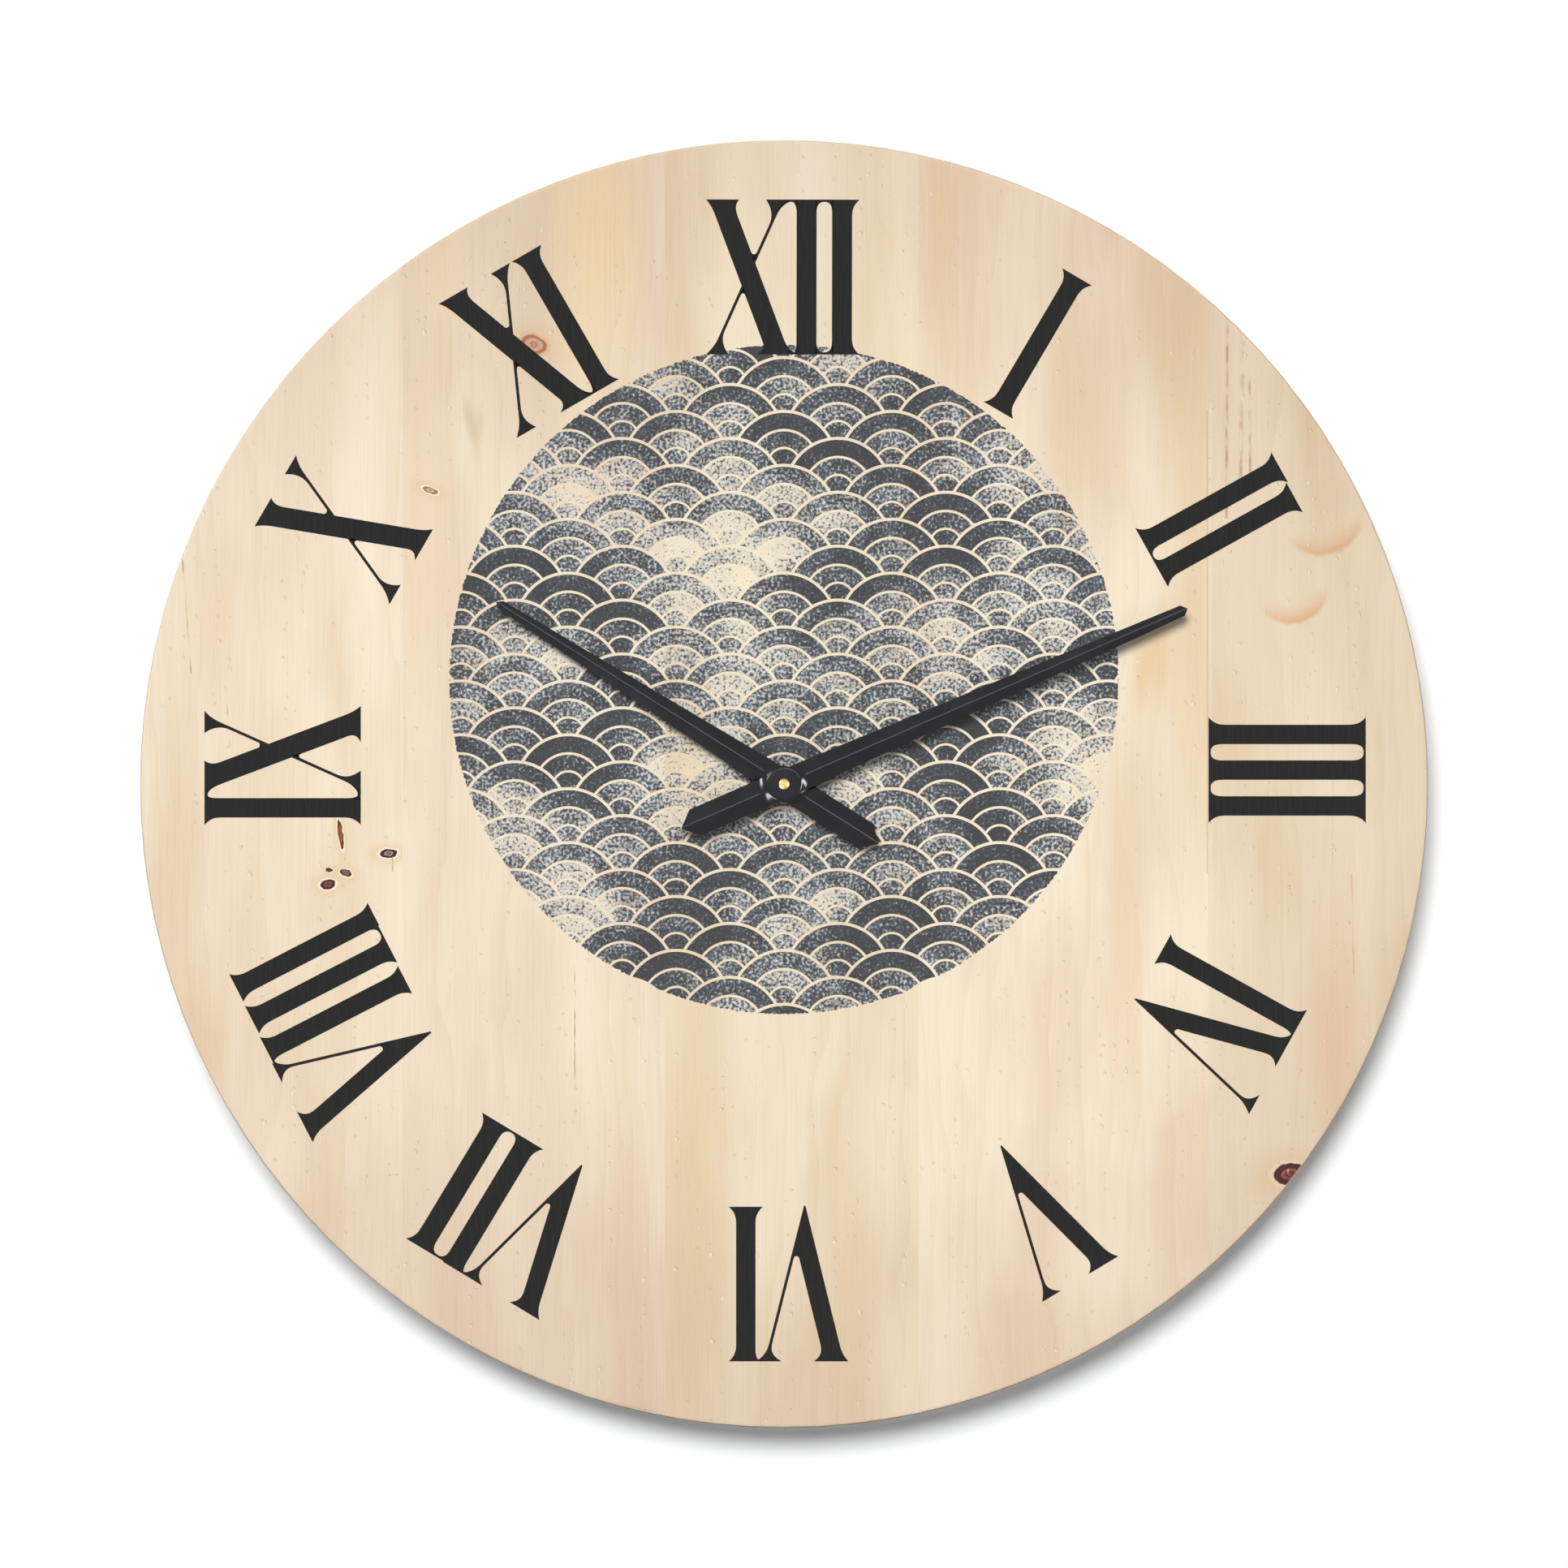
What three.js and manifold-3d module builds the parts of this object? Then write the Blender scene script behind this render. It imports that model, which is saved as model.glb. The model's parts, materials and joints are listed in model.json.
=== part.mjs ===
// Wooden wall clock: a round pine dial with a quartz movement let into its back.
// Lengths are in millimetres. Every piece is built in the wall frame, seen from the front:
// x to the right, y up, z out of the wall. The last group stands that frame upright.
import * as THREE from "three";
import { mergeVertices } from "three/addons/utils/BufferGeometryUtils.js";
import Module from "manifold-3d";

const wasm = await Module();
wasm.setup();

// Dial panel
const DIAL_DIAMETER = 406.4;
const DIAL_EDGE_ROUND = 1.2;
const WEB_THICKNESS = 3.7; // wood left in front of the movement
const CENTRE_PLANK_WIDTH = 79.9;
const CENTRE_PLANK_SHIFT = 2.4; // middle of the centre plank, right of the hands
const LEFT_PLANK_WIDTH = 82.8;
const RIGHT_PLANK_WIDTH = 91.5;
const GLUE_LINE = 0.1;

// Keyhole hanger, let in flush with the back
const HANGER_FROM_TOP = 53; // top of the dial to the middle of the plate
const HANGER_HEIGHT = 52;
const HANGER_WIDTH = 16;
const HANGER_THICKNESS = 1.6;
const KEYHOLE_ENTRY_DIAMETER = 9.6;
const KEYHOLE_SLOT_WIDTH = 4.8;
const KEYHOLE_TRAVEL = 12; // entry to the top of the slot, between centres
const KEYHOLE_DEPTH = 8.5; // room behind the plate for the head of a wall screw
const SCREW_FROM_END = 6;
const SCREW_HEAD_DIAMETER = 6;
const SCREW_SHANK_DIAMETER = 3;
const SCREW_LENGTH = 12;

// Hands
const HOUR_LENGTH = 107.2;
const MINUTE_LENGTH = 138.5;
const HOUR_TIP_WIDTH = 3.0;
const MINUTE_TIP_WIDTH = 3.6;
const HAND_WIDTH = 9.0; // at the hub and along the tail
const HAND_POINT = 1.7; // length of the blunt point
const TAIL_LENGTH = 35.2;
const TAIL_POINT = 4.7;
const HAND_SHEET = 0.6;
const HAND_SLOPE = 0.22; // fall of each wing from the ridge
const BOSS_DIAMETER = 11.5;
const BOSS_RISE = 0.6; // above the ridge
const BOSS_ROUND = 0.45;
const BOSS_SKIRT = 2.2; // reach of the fillet along the ridge
const HOUR_ANGLE = 302.3; // degrees clockwise from twelve
const MINUTE_ANGLE = 66.5;
const HAND_GAP = 0.7;

// Shaft and its fixing through the dial
const ARBOR_DIAMETER = 3.4;
const PIPE_WALL = 0.75;
const BUSHING_WALL = 1.2;
const FLANGE_REACH = 1.5;
const GASKET_DIAMETER = 30;
const GASKET_THICKNESS = 0.5;
const WASHER_THICKNESS = 0.5;
const NUT_THICKNESS = 2.0;
const NUT_SLOT = 1.6;

// Movement housing
const COVER_THICKNESS = 1.6;
const COVER_LIP = 1.2;
const FRONT_WALL = 1.2;
const CASE_WALL = 1.0;
const CASE_CORNER = 4;
const BAY_WALL = 1.0; // between the battery and the wheels, and in front of the battery
const BRIDGE_THICKNESS = 0.8;
const BRIDGE_WIDTH = 34;
const POST_DIAMETER = 3.6;
const PIN_DIAMETER = 1.8;
const POCKET_CLEARANCE = 1.0;

// Wheels: teeth, centre distances and levels
const CANNON_LEAVES = 10;
const MINUTE_TEETH = 40;
const MINUTE_LEAVES = 12;
const HOUR_TEETH = 36;
const CENTRE_TEETH = 48;
const TRAIN_LEAVES = 6;
const THIRD_TEETH = 45;
const SECONDS_TEETH = 30;
const INTERMEDIATE_TEETH = 36;
const TRAIN_CENTRES = 8.8;
const ROTOR_CENTRES = 5.6;
const MOTION_DIRECTION = 150; // degrees from +x, seen from the front
const THIRD_DIRECTION = 60;
const INTERMEDIATE_DIRECTION = 95;
const ROTOR_DIRECTION = 75;
const LEVEL_GAP = 0.35;
const MOTION_FACE = 1.2;
const TRAIN_FACE = 1.0;
const FAST_FACE = 0.8;
const PIVOT_DIAMETER = 0.8;
const SETTING_SHAFT_DIAMETER = 2.2;
const KNOB_DIAMETER = 11;
const KNOB_THICKNESS = 1.8;
const KNOB_SUNK = 0.3;

// Stepping motor and electrics
const MAGNET_DIAMETER = 4.5;
const MAGNET_LENGTH = 1.6;
const MAGNET_END_ROOM = 1.8;
const STATOR_THICKNESS = 1.2;
const STATOR_RIM = 1.3; // iron beside the rotor hole
const STATOR_ARM = 5.5;
const COIL_LENGTH = 22;
const COIL_HEIGHT = 6.4;
const COIL_DEPTH = 5.2;
const CORE_LENGTH = 37;
const CORE_HEIGHT = 3.2;
const BATTERY_DIAMETER = 14.5;
const BATTERY_LENGTH = 50.5;
const BATTERY_NUB = 1.4;
const BATTERY_NUB_DIAMETER = 5.4;
const CONTACT_ROOM = 1.75; // at each end of the battery
const CONTACT_THICKNESS = 0.4;
const CONTACT_WIDTH = 3.6;
const BOARD_THICKNESS = 0.8;
const CRYSTAL_DIAMETER = 2;
const CRYSTAL_LENGTH = 6.2;
const CHIP_DIAMETER = 5;
const CHIP_HEIGHT = 1.2;

// Fits
const PRESS_GAP = 0.06; // pieces pressed together
const SLIP_GAP = 0.1; // running and sliding fits
const ROOM = 0.3; // free air around pieces that must not touch

// Tooth form, in modules or as a share of the pitch
const WHEEL_TOOTH = 0.44;
const LEAF_TOOTH = 0.36;
const LEAF_TIP = 0.5;
const WHEEL_ADDENDUM = 1.0;
const WHEEL_DEDENDUM = 1.1;
const LEAF_ADDENDUM = 0.55;
const LEAF_DEDENDUM = 1.25;

// Facets
const RIM_FACETS = 120;
const ROUND_FACETS = 24;
const SMALL_FACETS = 10;
const CORNER_FACETS = 3;

const radians = (degrees) => (degrees * Math.PI) / 180;
const polar = (reach, degrees) => ({
  x: reach * Math.cos(radians(degrees)),
  y: reach * Math.sin(radians(degrees)),
});

// Wheel sizes. The setting shaft passes just outside the centre wheel, the seconds arbor just
// outside the intermediate wheel.
const spread = (centres, teeth, leaves) => (2 * centres) / (teeth + leaves);
const tipRadius = (teeth, module) => (teeth / 2 + WHEEL_ADDENDUM) * module;
const centreModule = spread(TRAIN_CENTRES, CENTRE_TEETH, TRAIN_LEAVES);
const thirdModule = spread(TRAIN_CENTRES, THIRD_TEETH, TRAIN_LEAVES);
const centreTip = tipRadius(CENTRE_TEETH, centreModule);
const motionCentres = centreTip + SETTING_SHAFT_DIAMETER / 2 + ROOM;
const minuteModule = spread(motionCentres, MINUTE_TEETH, CANNON_LEAVES);
const hourModule = spread(motionCentres, HOUR_TEETH, MINUTE_LEAVES);
const rotorModule = spread(ROTOR_CENTRES, INTERMEDIATE_TEETH, TRAIN_LEAVES);
const intermediateTip = tipRadius(INTERMEDIATE_TEETH, rotorModule);
const secondsCentres = intermediateTip + PIVOT_DIAMETER / 2 + 2 * ROOM;
const secondsModule = spread(secondsCentres, SECONDS_TEETH, TRAIN_LEAVES);

// Axes, measured from the hands
const hub = { x: 0, y: 0 };
const minuteAxis = polar(motionCentres, MOTION_DIRECTION);
const thirdAxis = polar(TRAIN_CENTRES, THIRD_DIRECTION);
const intermediateAxis = polar(secondsCentres, INTERMEDIATE_DIRECTION);
const rotorStep = polar(ROTOR_CENTRES, ROTOR_DIRECTION);
const rotorAxis = {
  x: intermediateAxis.x + rotorStep.x,
  y: intermediateAxis.y + rotorStep.y,
};

// Levels, from the wall outwards
const level = (rear, face) => ({ rear, front: rear + face });
const magnetLevel = level(COVER_THICKNESS + MAGNET_END_ROOM, MAGNET_LENGTH);
const rotorLevel = level(magnetLevel.front + LEVEL_GAP, FAST_FACE);
const secondsLevel = level(rotorLevel.front + LEVEL_GAP, FAST_FACE);
const bridgeLevel = level(secondsLevel.front + LEVEL_GAP, BRIDGE_THICKNESS);
const thirdLevel = level(bridgeLevel.front + LEVEL_GAP, TRAIN_FACE);
const centreLevel = level(thirdLevel.front + LEVEL_GAP, TRAIN_FACE);
const cannonLevel = level(centreLevel.front + LEVEL_GAP, MOTION_FACE);
const hourLevel = level(cannonLevel.front + LEVEL_GAP, MOTION_FACE);
const trainDepth = hourLevel.front + LEVEL_GAP + FRONT_WALL;
const batteryDepth = BATTERY_DIAMETER + 2 * SLIP_GAP + BAY_WALL;
const caseFront = Math.max(trainDepth, batteryDepth);
const frontInside = caseFront - FRONT_WALL;
const pocketFloor = caseFront + GASKET_THICKNESS;
const dialFront = pocketFloor + WEB_THICKNESS;
const nutRear = dialFront + WASHER_THICKNESS;
const bushingFront = nutRear + NUT_THICKNESS + ROOM;

// Shaft radii
const arborRadius = ARBOR_DIAMETER / 2;
const pipeBore = arborRadius + SLIP_GAP;
const pipeRadius = pipeBore + PIPE_WALL;
const bushingBore = pipeRadius + SLIP_GAP;
const bushingRadius = bushingBore + BUSHING_WALL;
const flangeRadius = bushingRadius + FLANGE_REACH;
const cannonRoot = (CANNON_LEAVES / 2 - LEAF_DEDENDUM) * minuteModule;
const stubRadius = Math.min(arborRadius, cannonRoot) - ROOM;

// Hand heights
const handRise = HAND_SHEET + (HAND_SLOPE * HAND_WIDTH) / 2;
const hourRear = bushingFront + HAND_GAP;
const hourBossTop = hourRear + handRise + BOSS_RISE;
const pipeFront = hourBossTop + PRESS_GAP;
const minuteRear = pipeFront + HAND_GAP / 2;
const minuteBossTop = minuteRear + handRise + BOSS_RISE;
const arborFront = minuteBossTop + BOSS_ROUND;

// Movement housing in plan
const bridgeSide = BRIDGE_WIDTH / 2;
const bridgeFoot = -(centreTip + POST_DIAMETER / 2);
const statorReach = MAGNET_DIAMETER / 2 + ROOM + STATOR_RIM;
const bridgeHead = rotorAxis.y + statorReach + POST_DIAMETER;
const postInset = POST_DIAMETER / 2 + ROOM;
const bridgePosts = [-1, 1].flatMap((side) => [
  { x: side * (bridgeSide - postInset), y: bridgeFoot + postInset },
  { x: side * (bridgeSide - postInset), y: bridgeHead - postInset },
]);
const coilAxisY = bridgeHead + ROOM + COIL_HEIGHT / 2;
const roomSide = BATTERY_LENGTH / 2 + CONTACT_ROOM;
const roomTop = coilAxisY + COIL_HEIGHT / 2 + CASE_WALL + ROOM;
const roomBottom = bridgeFoot - CONTACT_THICKNESS - 2 * ROOM;
const bayTop = roomBottom - BAY_WALL;
const batteryY = bayTop - SLIP_GAP - BATTERY_DIAMETER / 2;
const batteryZ = caseFront - BAY_WALL - SLIP_GAP - BATTERY_DIAMETER / 2;
const bayBottom = batteryY - BATTERY_DIAMETER / 2 - SLIP_GAP;
const caseSide = roomSide + CASE_WALL;
const caseTop = roomTop + CASE_WALL;
const caseBottom = bayBottom - CASE_WALL;
const coverFoot = roomBottom - BAY_WALL / 2;
const wellRadius = KNOB_DIAMETER / 2 + 2 * ROOM;
const wellFloor = KNOB_SUNK + KNOB_THICKNESS + ROOM;
const wellTop = wellFloor + FAST_FACE;

// Motor and electrics in plan and level
const coreRear = (magnetLevel.rear + magnetLevel.front + STATOR_THICKNESS) / 2;
const statorRear = coreRear - STATOR_THICKNESS;
const coreFront = coreRear + STATOR_THICKNESS;
const coilZ = (coreRear + coreFront) / 2;
const coilScrewX = (CORE_LENGTH - STATOR_ARM) / 2;
const contactRear = batteryZ - CONTACT_WIDTH / 2;
const contactFront = batteryZ + CONTACT_WIDTH / 2;
const boardRear = contactFront + PRESS_GAP;
const boardFront = boardRear + BOARD_THICKNESS;
const boardLeft = -roomSide + ROOM;
const boardRight = -bridgeSide - ROOM;
const boardMiddle = (boardLeft + boardRight) / 2;
const boardFoot = roomBottom + ROOM;
const boardHead = rotorAxis.y + ROOM;
const boardPosts = [
  { x: boardMiddle, y: boardHead - POST_DIAMETER },
  { x: boardMiddle, y: boardFoot + POST_DIAMETER },
];

// Dial and hanger in plan
const dialRadius = DIAL_DIAMETER / 2;
const hangerY = dialRadius - HANGER_FROM_TOP;
const entryY = hangerY - KEYHOLE_TRAVEL / 2;
const slotY = hangerY + KEYHOLE_TRAVEL / 2;
const screwYs = { top: 1, bottom: -1 };
const screwY = (end) => hangerY + screwYs[end] * (HANGER_HEIGHT / 2 - SCREW_FROM_END);

/** A solid that takes booleans, from a closed three.js geometry. */
function solid(geometry) {
  const bare = geometry.index ? geometry.toNonIndexed() : geometry;
  bare.deleteAttribute("normal");
  bare.deleteAttribute("uv");
  const welded = mergeVertices(bare);
  const corners = welded.index.array;
  const triangles = [];
  for (let i = 0; i < corners.length; i += 3) {
    const [a, b, c] = corners.slice(i, i + 3);
    if (a !== b && b !== c && c !== a) triangles.push(a, b, c);
  }
  const vertProperties = new Float32Array(welded.attributes.position.array);
  const triVerts = new Uint32Array(triangles);
  return new wasm.Manifold(new wasm.Mesh({ numProp: 3, vertProperties, triVerts }));
}

/** The union of several solids. */
const joined = (...bodies) => bodies.reduce((whole, body) => whole.add(body));

/** A solid with several others taken out of it. */
const cut = (body, ...tools) => tools.reduce((left, tool) => left.subtract(tool), body);

/** A flat outline carried from one height to another. */
function prism(shape, rear, front) {
  const settings = { depth: front - rear, bevelEnabled: false, curveSegments: CORNER_FACETS };
  return solid(new THREE.ExtrudeGeometry(shape, settings).translate(0, 0, rear));
}

/** A round bar along z. */
function rod(radius, rear, front, at = hub, facets = SMALL_FACETS) {
  const bar = new THREE.CylinderGeometry(radius, radius, front - rear, facets);
  bar.rotateX(Math.PI / 2);
  return solid(bar.translate(at.x, at.y, (rear + front) / 2));
}

/** A round bar with a hole along it. */
function tube(bore, radius, rear, front, facets = ROUND_FACETS) {
  const hole = rod(bore, rear - ROOM, front + ROOM, hub, facets);
  return rod(radius, rear, front, hub, facets).subtract(hole);
}

/** A square block between two corners. */
function block([x0, y0, z0], [x1, y1, z1]) {
  const box = new THREE.BoxGeometry(x1 - x0, y1 - y0, z1 - z0);
  return solid(box.translate((x0 + x1) / 2, (y0 + y1) / 2, (z0 + z1) / 2));
}

/** A turned solid about z; the profile runs outside-facing from the rear, as [radius, z]. */
function turned(profile, facets = ROUND_FACETS) {
  const points = profile.map(([radius, z]) => new THREE.Vector2(radius, z));
  return solid(new THREE.LatheGeometry(points, facets).rotateX(Math.PI / 2));
}

/** A rectangle with round corners, which may be tighter along the foot. */
function plate(left, bottom, right, top, corner, foot = corner) {
  const shape = new THREE.Shape();
  shape.absarc(right - corner, top - corner, corner, 0, Math.PI / 2);
  shape.absarc(left + corner, top - corner, corner, Math.PI / 2, Math.PI);
  shape.absarc(left + foot, bottom + foot, foot, Math.PI, 1.5 * Math.PI);
  shape.absarc(right - foot, bottom + foot, foot, 1.5 * Math.PI, 2 * Math.PI);
  return shape;
}

/** A strip of one thickness bent along a path of [x, y] points. */
function strip(path, thickness) {
  const points = path.map(([x, y]) => new THREE.Vector2(x, y));
  const normal = (a, b) => new THREE.Vector2(a.y - b.y, b.x - a.x).normalize();
  const offsets = points.map((point, i) => {
    const before = normal(points[Math.max(i - 1, 0)], points[Math.max(i, 1)]);
    const last = points.length - 1;
    const after = normal(points[Math.min(i, last - 1)], points[Math.min(i + 1, last)]);
    const mitre = before.clone().add(after).normalize();
    return mitre.multiplyScalar(thickness / 2 / mitre.dot(before));
  });
  const left = points.map((point, i) => point.clone().add(offsets[i]));
  const right = points.map((point, i) => point.clone().sub(offsets[i]));
  return new THREE.Shape([...left, ...right.reverse()]);
}

/** A gear outline; the flank lists [radius, half angle] from the root to the tip of a tooth. */
function toothed(teeth, flank) {
  const points = [];
  for (let tooth = 0; tooth < teeth; tooth += 1) {
    const middle = (2 * Math.PI * tooth) / teeth;
    const rising = flank.map(([radius, half]) => [radius, middle - half]);
    const falling = flank.map(([radius, half]) => [radius, middle + half]).reverse();
    for (const [radius, angle] of [...rising, ...falling]) {
      points.push(new THREE.Vector2(radius * Math.cos(angle), radius * Math.sin(angle)));
    }
  }
  return new THREE.Shape(points);
}

/** How far an epicycloid leans from its start on the pitch circle to an outer radius. */
function epicycloidLean(pitch, rolling, outer) {
  const reach = pitch + rolling;
  const cosine = (reach ** 2 + rolling ** 2 - outer ** 2) / (2 * reach * rolling);
  const roll = Math.acos(cosine);
  const swing = (roll * rolling) / pitch;
  const x = reach * Math.cos(swing) - rolling * Math.cos(swing + roll);
  const y = reach * Math.sin(swing) - rolling * Math.sin(swing + roll);
  return Math.atan2(y, x);
}

/** A cycloidal wheel that runs with a pinion of so many leaves. */
function wheel(teeth, module, leaves, { rear, front }) {
  const pitch = (teeth * module) / 2;
  const outer = tipRadius(teeth, module);
  const half = (WHEEL_TOOTH * Math.PI) / teeth;
  const lean = epicycloidLean(pitch, (leaves * module) / 4, outer);
  const root = pitch - WHEEL_DEDENDUM * module;
  return prism(toothed(teeth, [[root, half], [outer, half - lean]]), rear, front);
}

/** A pinion with radial flanks and narrowed leaf tips. */
function pinion(leaves, module, { rear, front }) {
  const pitch = (leaves * module) / 2;
  const half = (LEAF_TOOTH * Math.PI) / leaves;
  const root = pitch - LEAF_DEDENDUM * module;
  const outer = pitch + LEAF_ADDENDUM * module;
  return prism(toothed(leaves, [[root, half], [outer, half * LEAF_TIP]]), rear, front);
}

/** The turn of a gear that meshes with another lying in a direction from it, both in radians. */
function meshing(teeth, turn, direction, nextTeeth) {
  const step = Math.PI / nextTeeth;
  return direction + Math.PI + step - (teeth / nextTeeth) * (turn - direction);
}

/** The whole dial before it is parted into planks. */
function dialPanel() {
  const round = DIAL_EDGE_ROUND;
  const arc = [0, 0.5, 1].map((share) => radians(90 * share));
  const profile = [
    [0, 0],
    ...arc.map((a) => [dialRadius - round + round * Math.sin(a), round - round * Math.cos(a)]),
    ...arc.map((a) => [dialRadius - round + round * Math.cos(a), dialFront - round + round * Math.sin(a)]),
    [0, dialFront],
  ];
  const clear = POCKET_CLEARANCE;
  const pocket = plate(
    -caseSide - clear, caseBottom - clear, caseSide + clear, caseTop + clear, CASE_CORNER + clear);
  const entry = KEYHOLE_ENTRY_DIAMETER / 2 + ROOM;
  const headRoom = plate(-entry, entryY - entry, entry, slotY + entry, entry - ROOM);
  const mortise = HANGER_WIDTH / 2 + SLIP_GAP;
  const seat = plate(
    -mortise, hangerY - HANGER_HEIGHT / 2 - SLIP_GAP,
    mortise, hangerY + HANGER_HEIGHT / 2 + SLIP_GAP, mortise - ROOM);
  const pilot = SCREW_SHANK_DIAMETER / 2 + PRESS_GAP;
  return cut(
    turned(profile, RIM_FACETS),
    prism(pocket, -ROOM, pocketFloor),
    rod(bushingRadius + SLIP_GAP, pocketFloor - ROOM, dialFront + ROOM, hub, ROUND_FACETS),
    prism(seat, -ROOM, HANGER_THICKNESS),
    prism(headRoom, -ROOM, KEYHOLE_DEPTH),
    ...Object.keys(screwYs).map((end) => rod(pilot, -ROOM, SCREW_LENGTH + ROOM, { x: 0, y: screwY(end) })),
  );
}

/** The planks by name, each a slice of the panel between two glue lines. */
function planks() {
  const panel = dialPanel();
  const centreLeft = CENTRE_PLANK_SHIFT - CENTRE_PLANK_WIDTH / 2;
  const centreRight = CENTRE_PLANK_SHIFT + CENTRE_PLANK_WIDTH / 2;
  const names = ["plank_far_left", "plank_left", "plank_centre", "plank_right", "plank_far_right"];
  const edges = [
    -dialRadius - ROOM,
    centreLeft - LEFT_PLANK_WIDTH,
    centreLeft,
    centreRight,
    centreRight + RIGHT_PLANK_WIDTH,
    dialRadius + ROOM,
  ];
  return names.map((name, i) => {
    const low = [edges[i] + GLUE_LINE / 2, -dialRadius - ROOM, -ROOM];
    const high = [edges[i + 1] - GLUE_LINE / 2, dialRadius + ROOM, dialFront + ROOM];
    return [name, panel.intersect(block(low, high))];
  });
}

/** Steel plate with a keyhole and two countersunk holes. */
function hangerPlate() {
  const half = HANGER_WIDTH / 2;
  const outline = plate(-half, hangerY - HANGER_HEIGHT / 2, half, hangerY + HANGER_HEIGHT / 2, half - ROOM);
  const slot = KEYHOLE_SLOT_WIDTH / 2;
  const slotLine = plate(-slot, entryY, slot, slotY + slot, slot - ROOM);
  const sink = Object.keys(screwYs).map((end) => screwBody(end, PRESS_GAP));
  return cut(
    prism(outline, 0, HANGER_THICKNESS),
    rod(KEYHOLE_ENTRY_DIAMETER / 2, -ROOM, HANGER_THICKNESS + ROOM, { x: 0, y: entryY }, ROUND_FACETS),
    prism(slotLine, -ROOM, HANGER_THICKNESS + ROOM),
    ...sink,
  );
}

/** Countersunk screw, or the hole for it when grown by a gap. */
function screwBody(end, gap = 0) {
  const head = SCREW_HEAD_DIAMETER / 2 + gap;
  const shank = SCREW_SHANK_DIAMETER / 2 + gap;
  const profile = [
    [0, -gap],
    [head, -gap],
    [shank, HANGER_THICKNESS],
    [shank, SCREW_LENGTH - SCREW_SHANK_DIAMETER],
    [0, SCREW_LENGTH],
  ];
  return turned(profile, SMALL_FACETS).translate([0, screwY(end), 0]);
}

/** A hanger screw with a driver slot. */
function hangerScrew(end) {
  const reach = SCREW_HEAD_DIAMETER / 4;
  const half = SCREW_HEAD_DIAMETER / 12;
  const y = screwY(end);
  const depth = HANGER_THICKNESS / 2;
  return screwBody(end)
    .subtract(block([-reach, y - half, -ROOM], [reach, y + half, depth]))
    .subtract(block([-half, y - reach, -ROOM], [half, y + reach, depth]));
}

/** Moulded front of the movement: wheel room, battery bay, posts and bearings. */
function movementCase() {
  const corner = CASE_CORNER;
  const inner = CASE_CORNER - CASE_WALL;
  const shell = prism(plate(-caseSide, caseBottom, caseSide, caseTop, corner), 0, caseFront);
  const room = prism(plate(-roomSide, roomBottom, roomSide, roomTop, inner, ROOM), -ROOM, frontInside);
  const bay = prism(plate(-roomSide, bayBottom, roomSide, bayTop, ROOM), -ROOM, caseFront - BAY_WALL);
  const seat = block(
    [-caseSide - ROOM, coverFoot, -ROOM],
    [caseSide + ROOM, caseTop + ROOM, COVER_THICKNESS]);
  const slotWidth = CONTACT_THICKNESS + 2 * ROOM;
  const slots = [-1, 1].map((side) => {
    const outer = side * roomSide;
    const nearer = side * (roomSide - slotWidth);
    const low = [Math.min(outer, nearer), bayTop - ROOM, contactRear - ROOM];
    const high = [Math.max(outer, nearer), roomBottom + ROOM, contactFront + ROOM];
    return block(low, high);
  });
  const stub = frontInside + FRONT_WALL / 2;
  const posts = [
    ...bridgePosts.map((at) => rod(POST_DIAMETER / 2, bridgeLevel.front, stub, at)),
    ...bridgePosts.map((at) => rod(PIN_DIAMETER / 2, bridgeLevel.rear - ROOM, stub, at)),
    ...boardPosts.map((at) => rod(POST_DIAMETER / 2, boardFront, stub, at)),
    ...coilPosts().map((at) => rod(POST_DIAMETER / 2, coreFront, stub, at)),
  ];
  const bearing = PIVOT_DIAMETER / 2 + SLIP_GAP;
  const bearings = [minuteAxis, thirdAxis].map((at) => rod(bearing, frontInside - ROOM, stub, at));
  const threads = coilPosts().map((at) => rod(PIN_DIAMETER / 2 + PRESS_GAP, coreFront - ROOM, stub, at));
  const nose = rod(bushingRadius + PRESS_GAP, frontInside - ROOM, caseFront + ROOM, hub, ROUND_FACETS);
  return cut(joined(cut(shell, room, bay, seat, ...slots), ...posts), ...bearings, ...threads, nose);
}

/** The two posts that carry the coil core. */
function coilPosts() {
  return [-1, 1].map((side) => ({ x: side * coilScrewX, y: coilAxisY }));
}

/** Lid over the wheel room, with a sunk well for the setting knob. */
function rearCover() {
  const lid = prism(plate(-caseSide, caseBottom, caseSide, caseTop, CASE_CORNER), 0, COVER_THICKNESS)
    .intersect(block([-caseSide, coverFoot + SLIP_GAP, -ROOM], [caseSide, caseTop, COVER_THICKNESS + ROOM]));
  const inset = ROOM;
  const rim = inset + FAST_FACE;
  const corner = CASE_CORNER - CASE_WALL - inset;
  const lipFront = COVER_THICKNESS + COVER_LIP;
  const lip = prism(
    plate(-roomSide + inset, roomBottom + inset, roomSide - inset, roomTop - inset, corner), 0, lipFront)
    .subtract(prism(
      plate(-roomSide + rim, roomBottom + rim, roomSide - rim, roomTop - rim, corner - FAST_FACE),
      -ROOM, lipFront + ROOM));
  const cup = rod(wellRadius + FAST_FACE, 0, wellTop, minuteAxis, ROUND_FACETS);
  const well = rod(wellRadius, -ROOM, wellFloor, minuteAxis, ROUND_FACETS);
  const shaft = rod(SETTING_SHAFT_DIAMETER / 2 + SLIP_GAP, -ROOM, wellTop + ROOM, minuteAxis);
  const bearing = PIVOT_DIAMETER / 2 + SLIP_GAP;
  const axes = [hub, intermediateAxis, rotorAxis];
  const bearings = axes.map((at) => rod(bearing, COVER_THICKNESS / 2, COVER_THICKNESS + ROOM, at));
  return cut(joined(lid, lip, cup), well, shaft, ...bearings);
}

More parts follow.
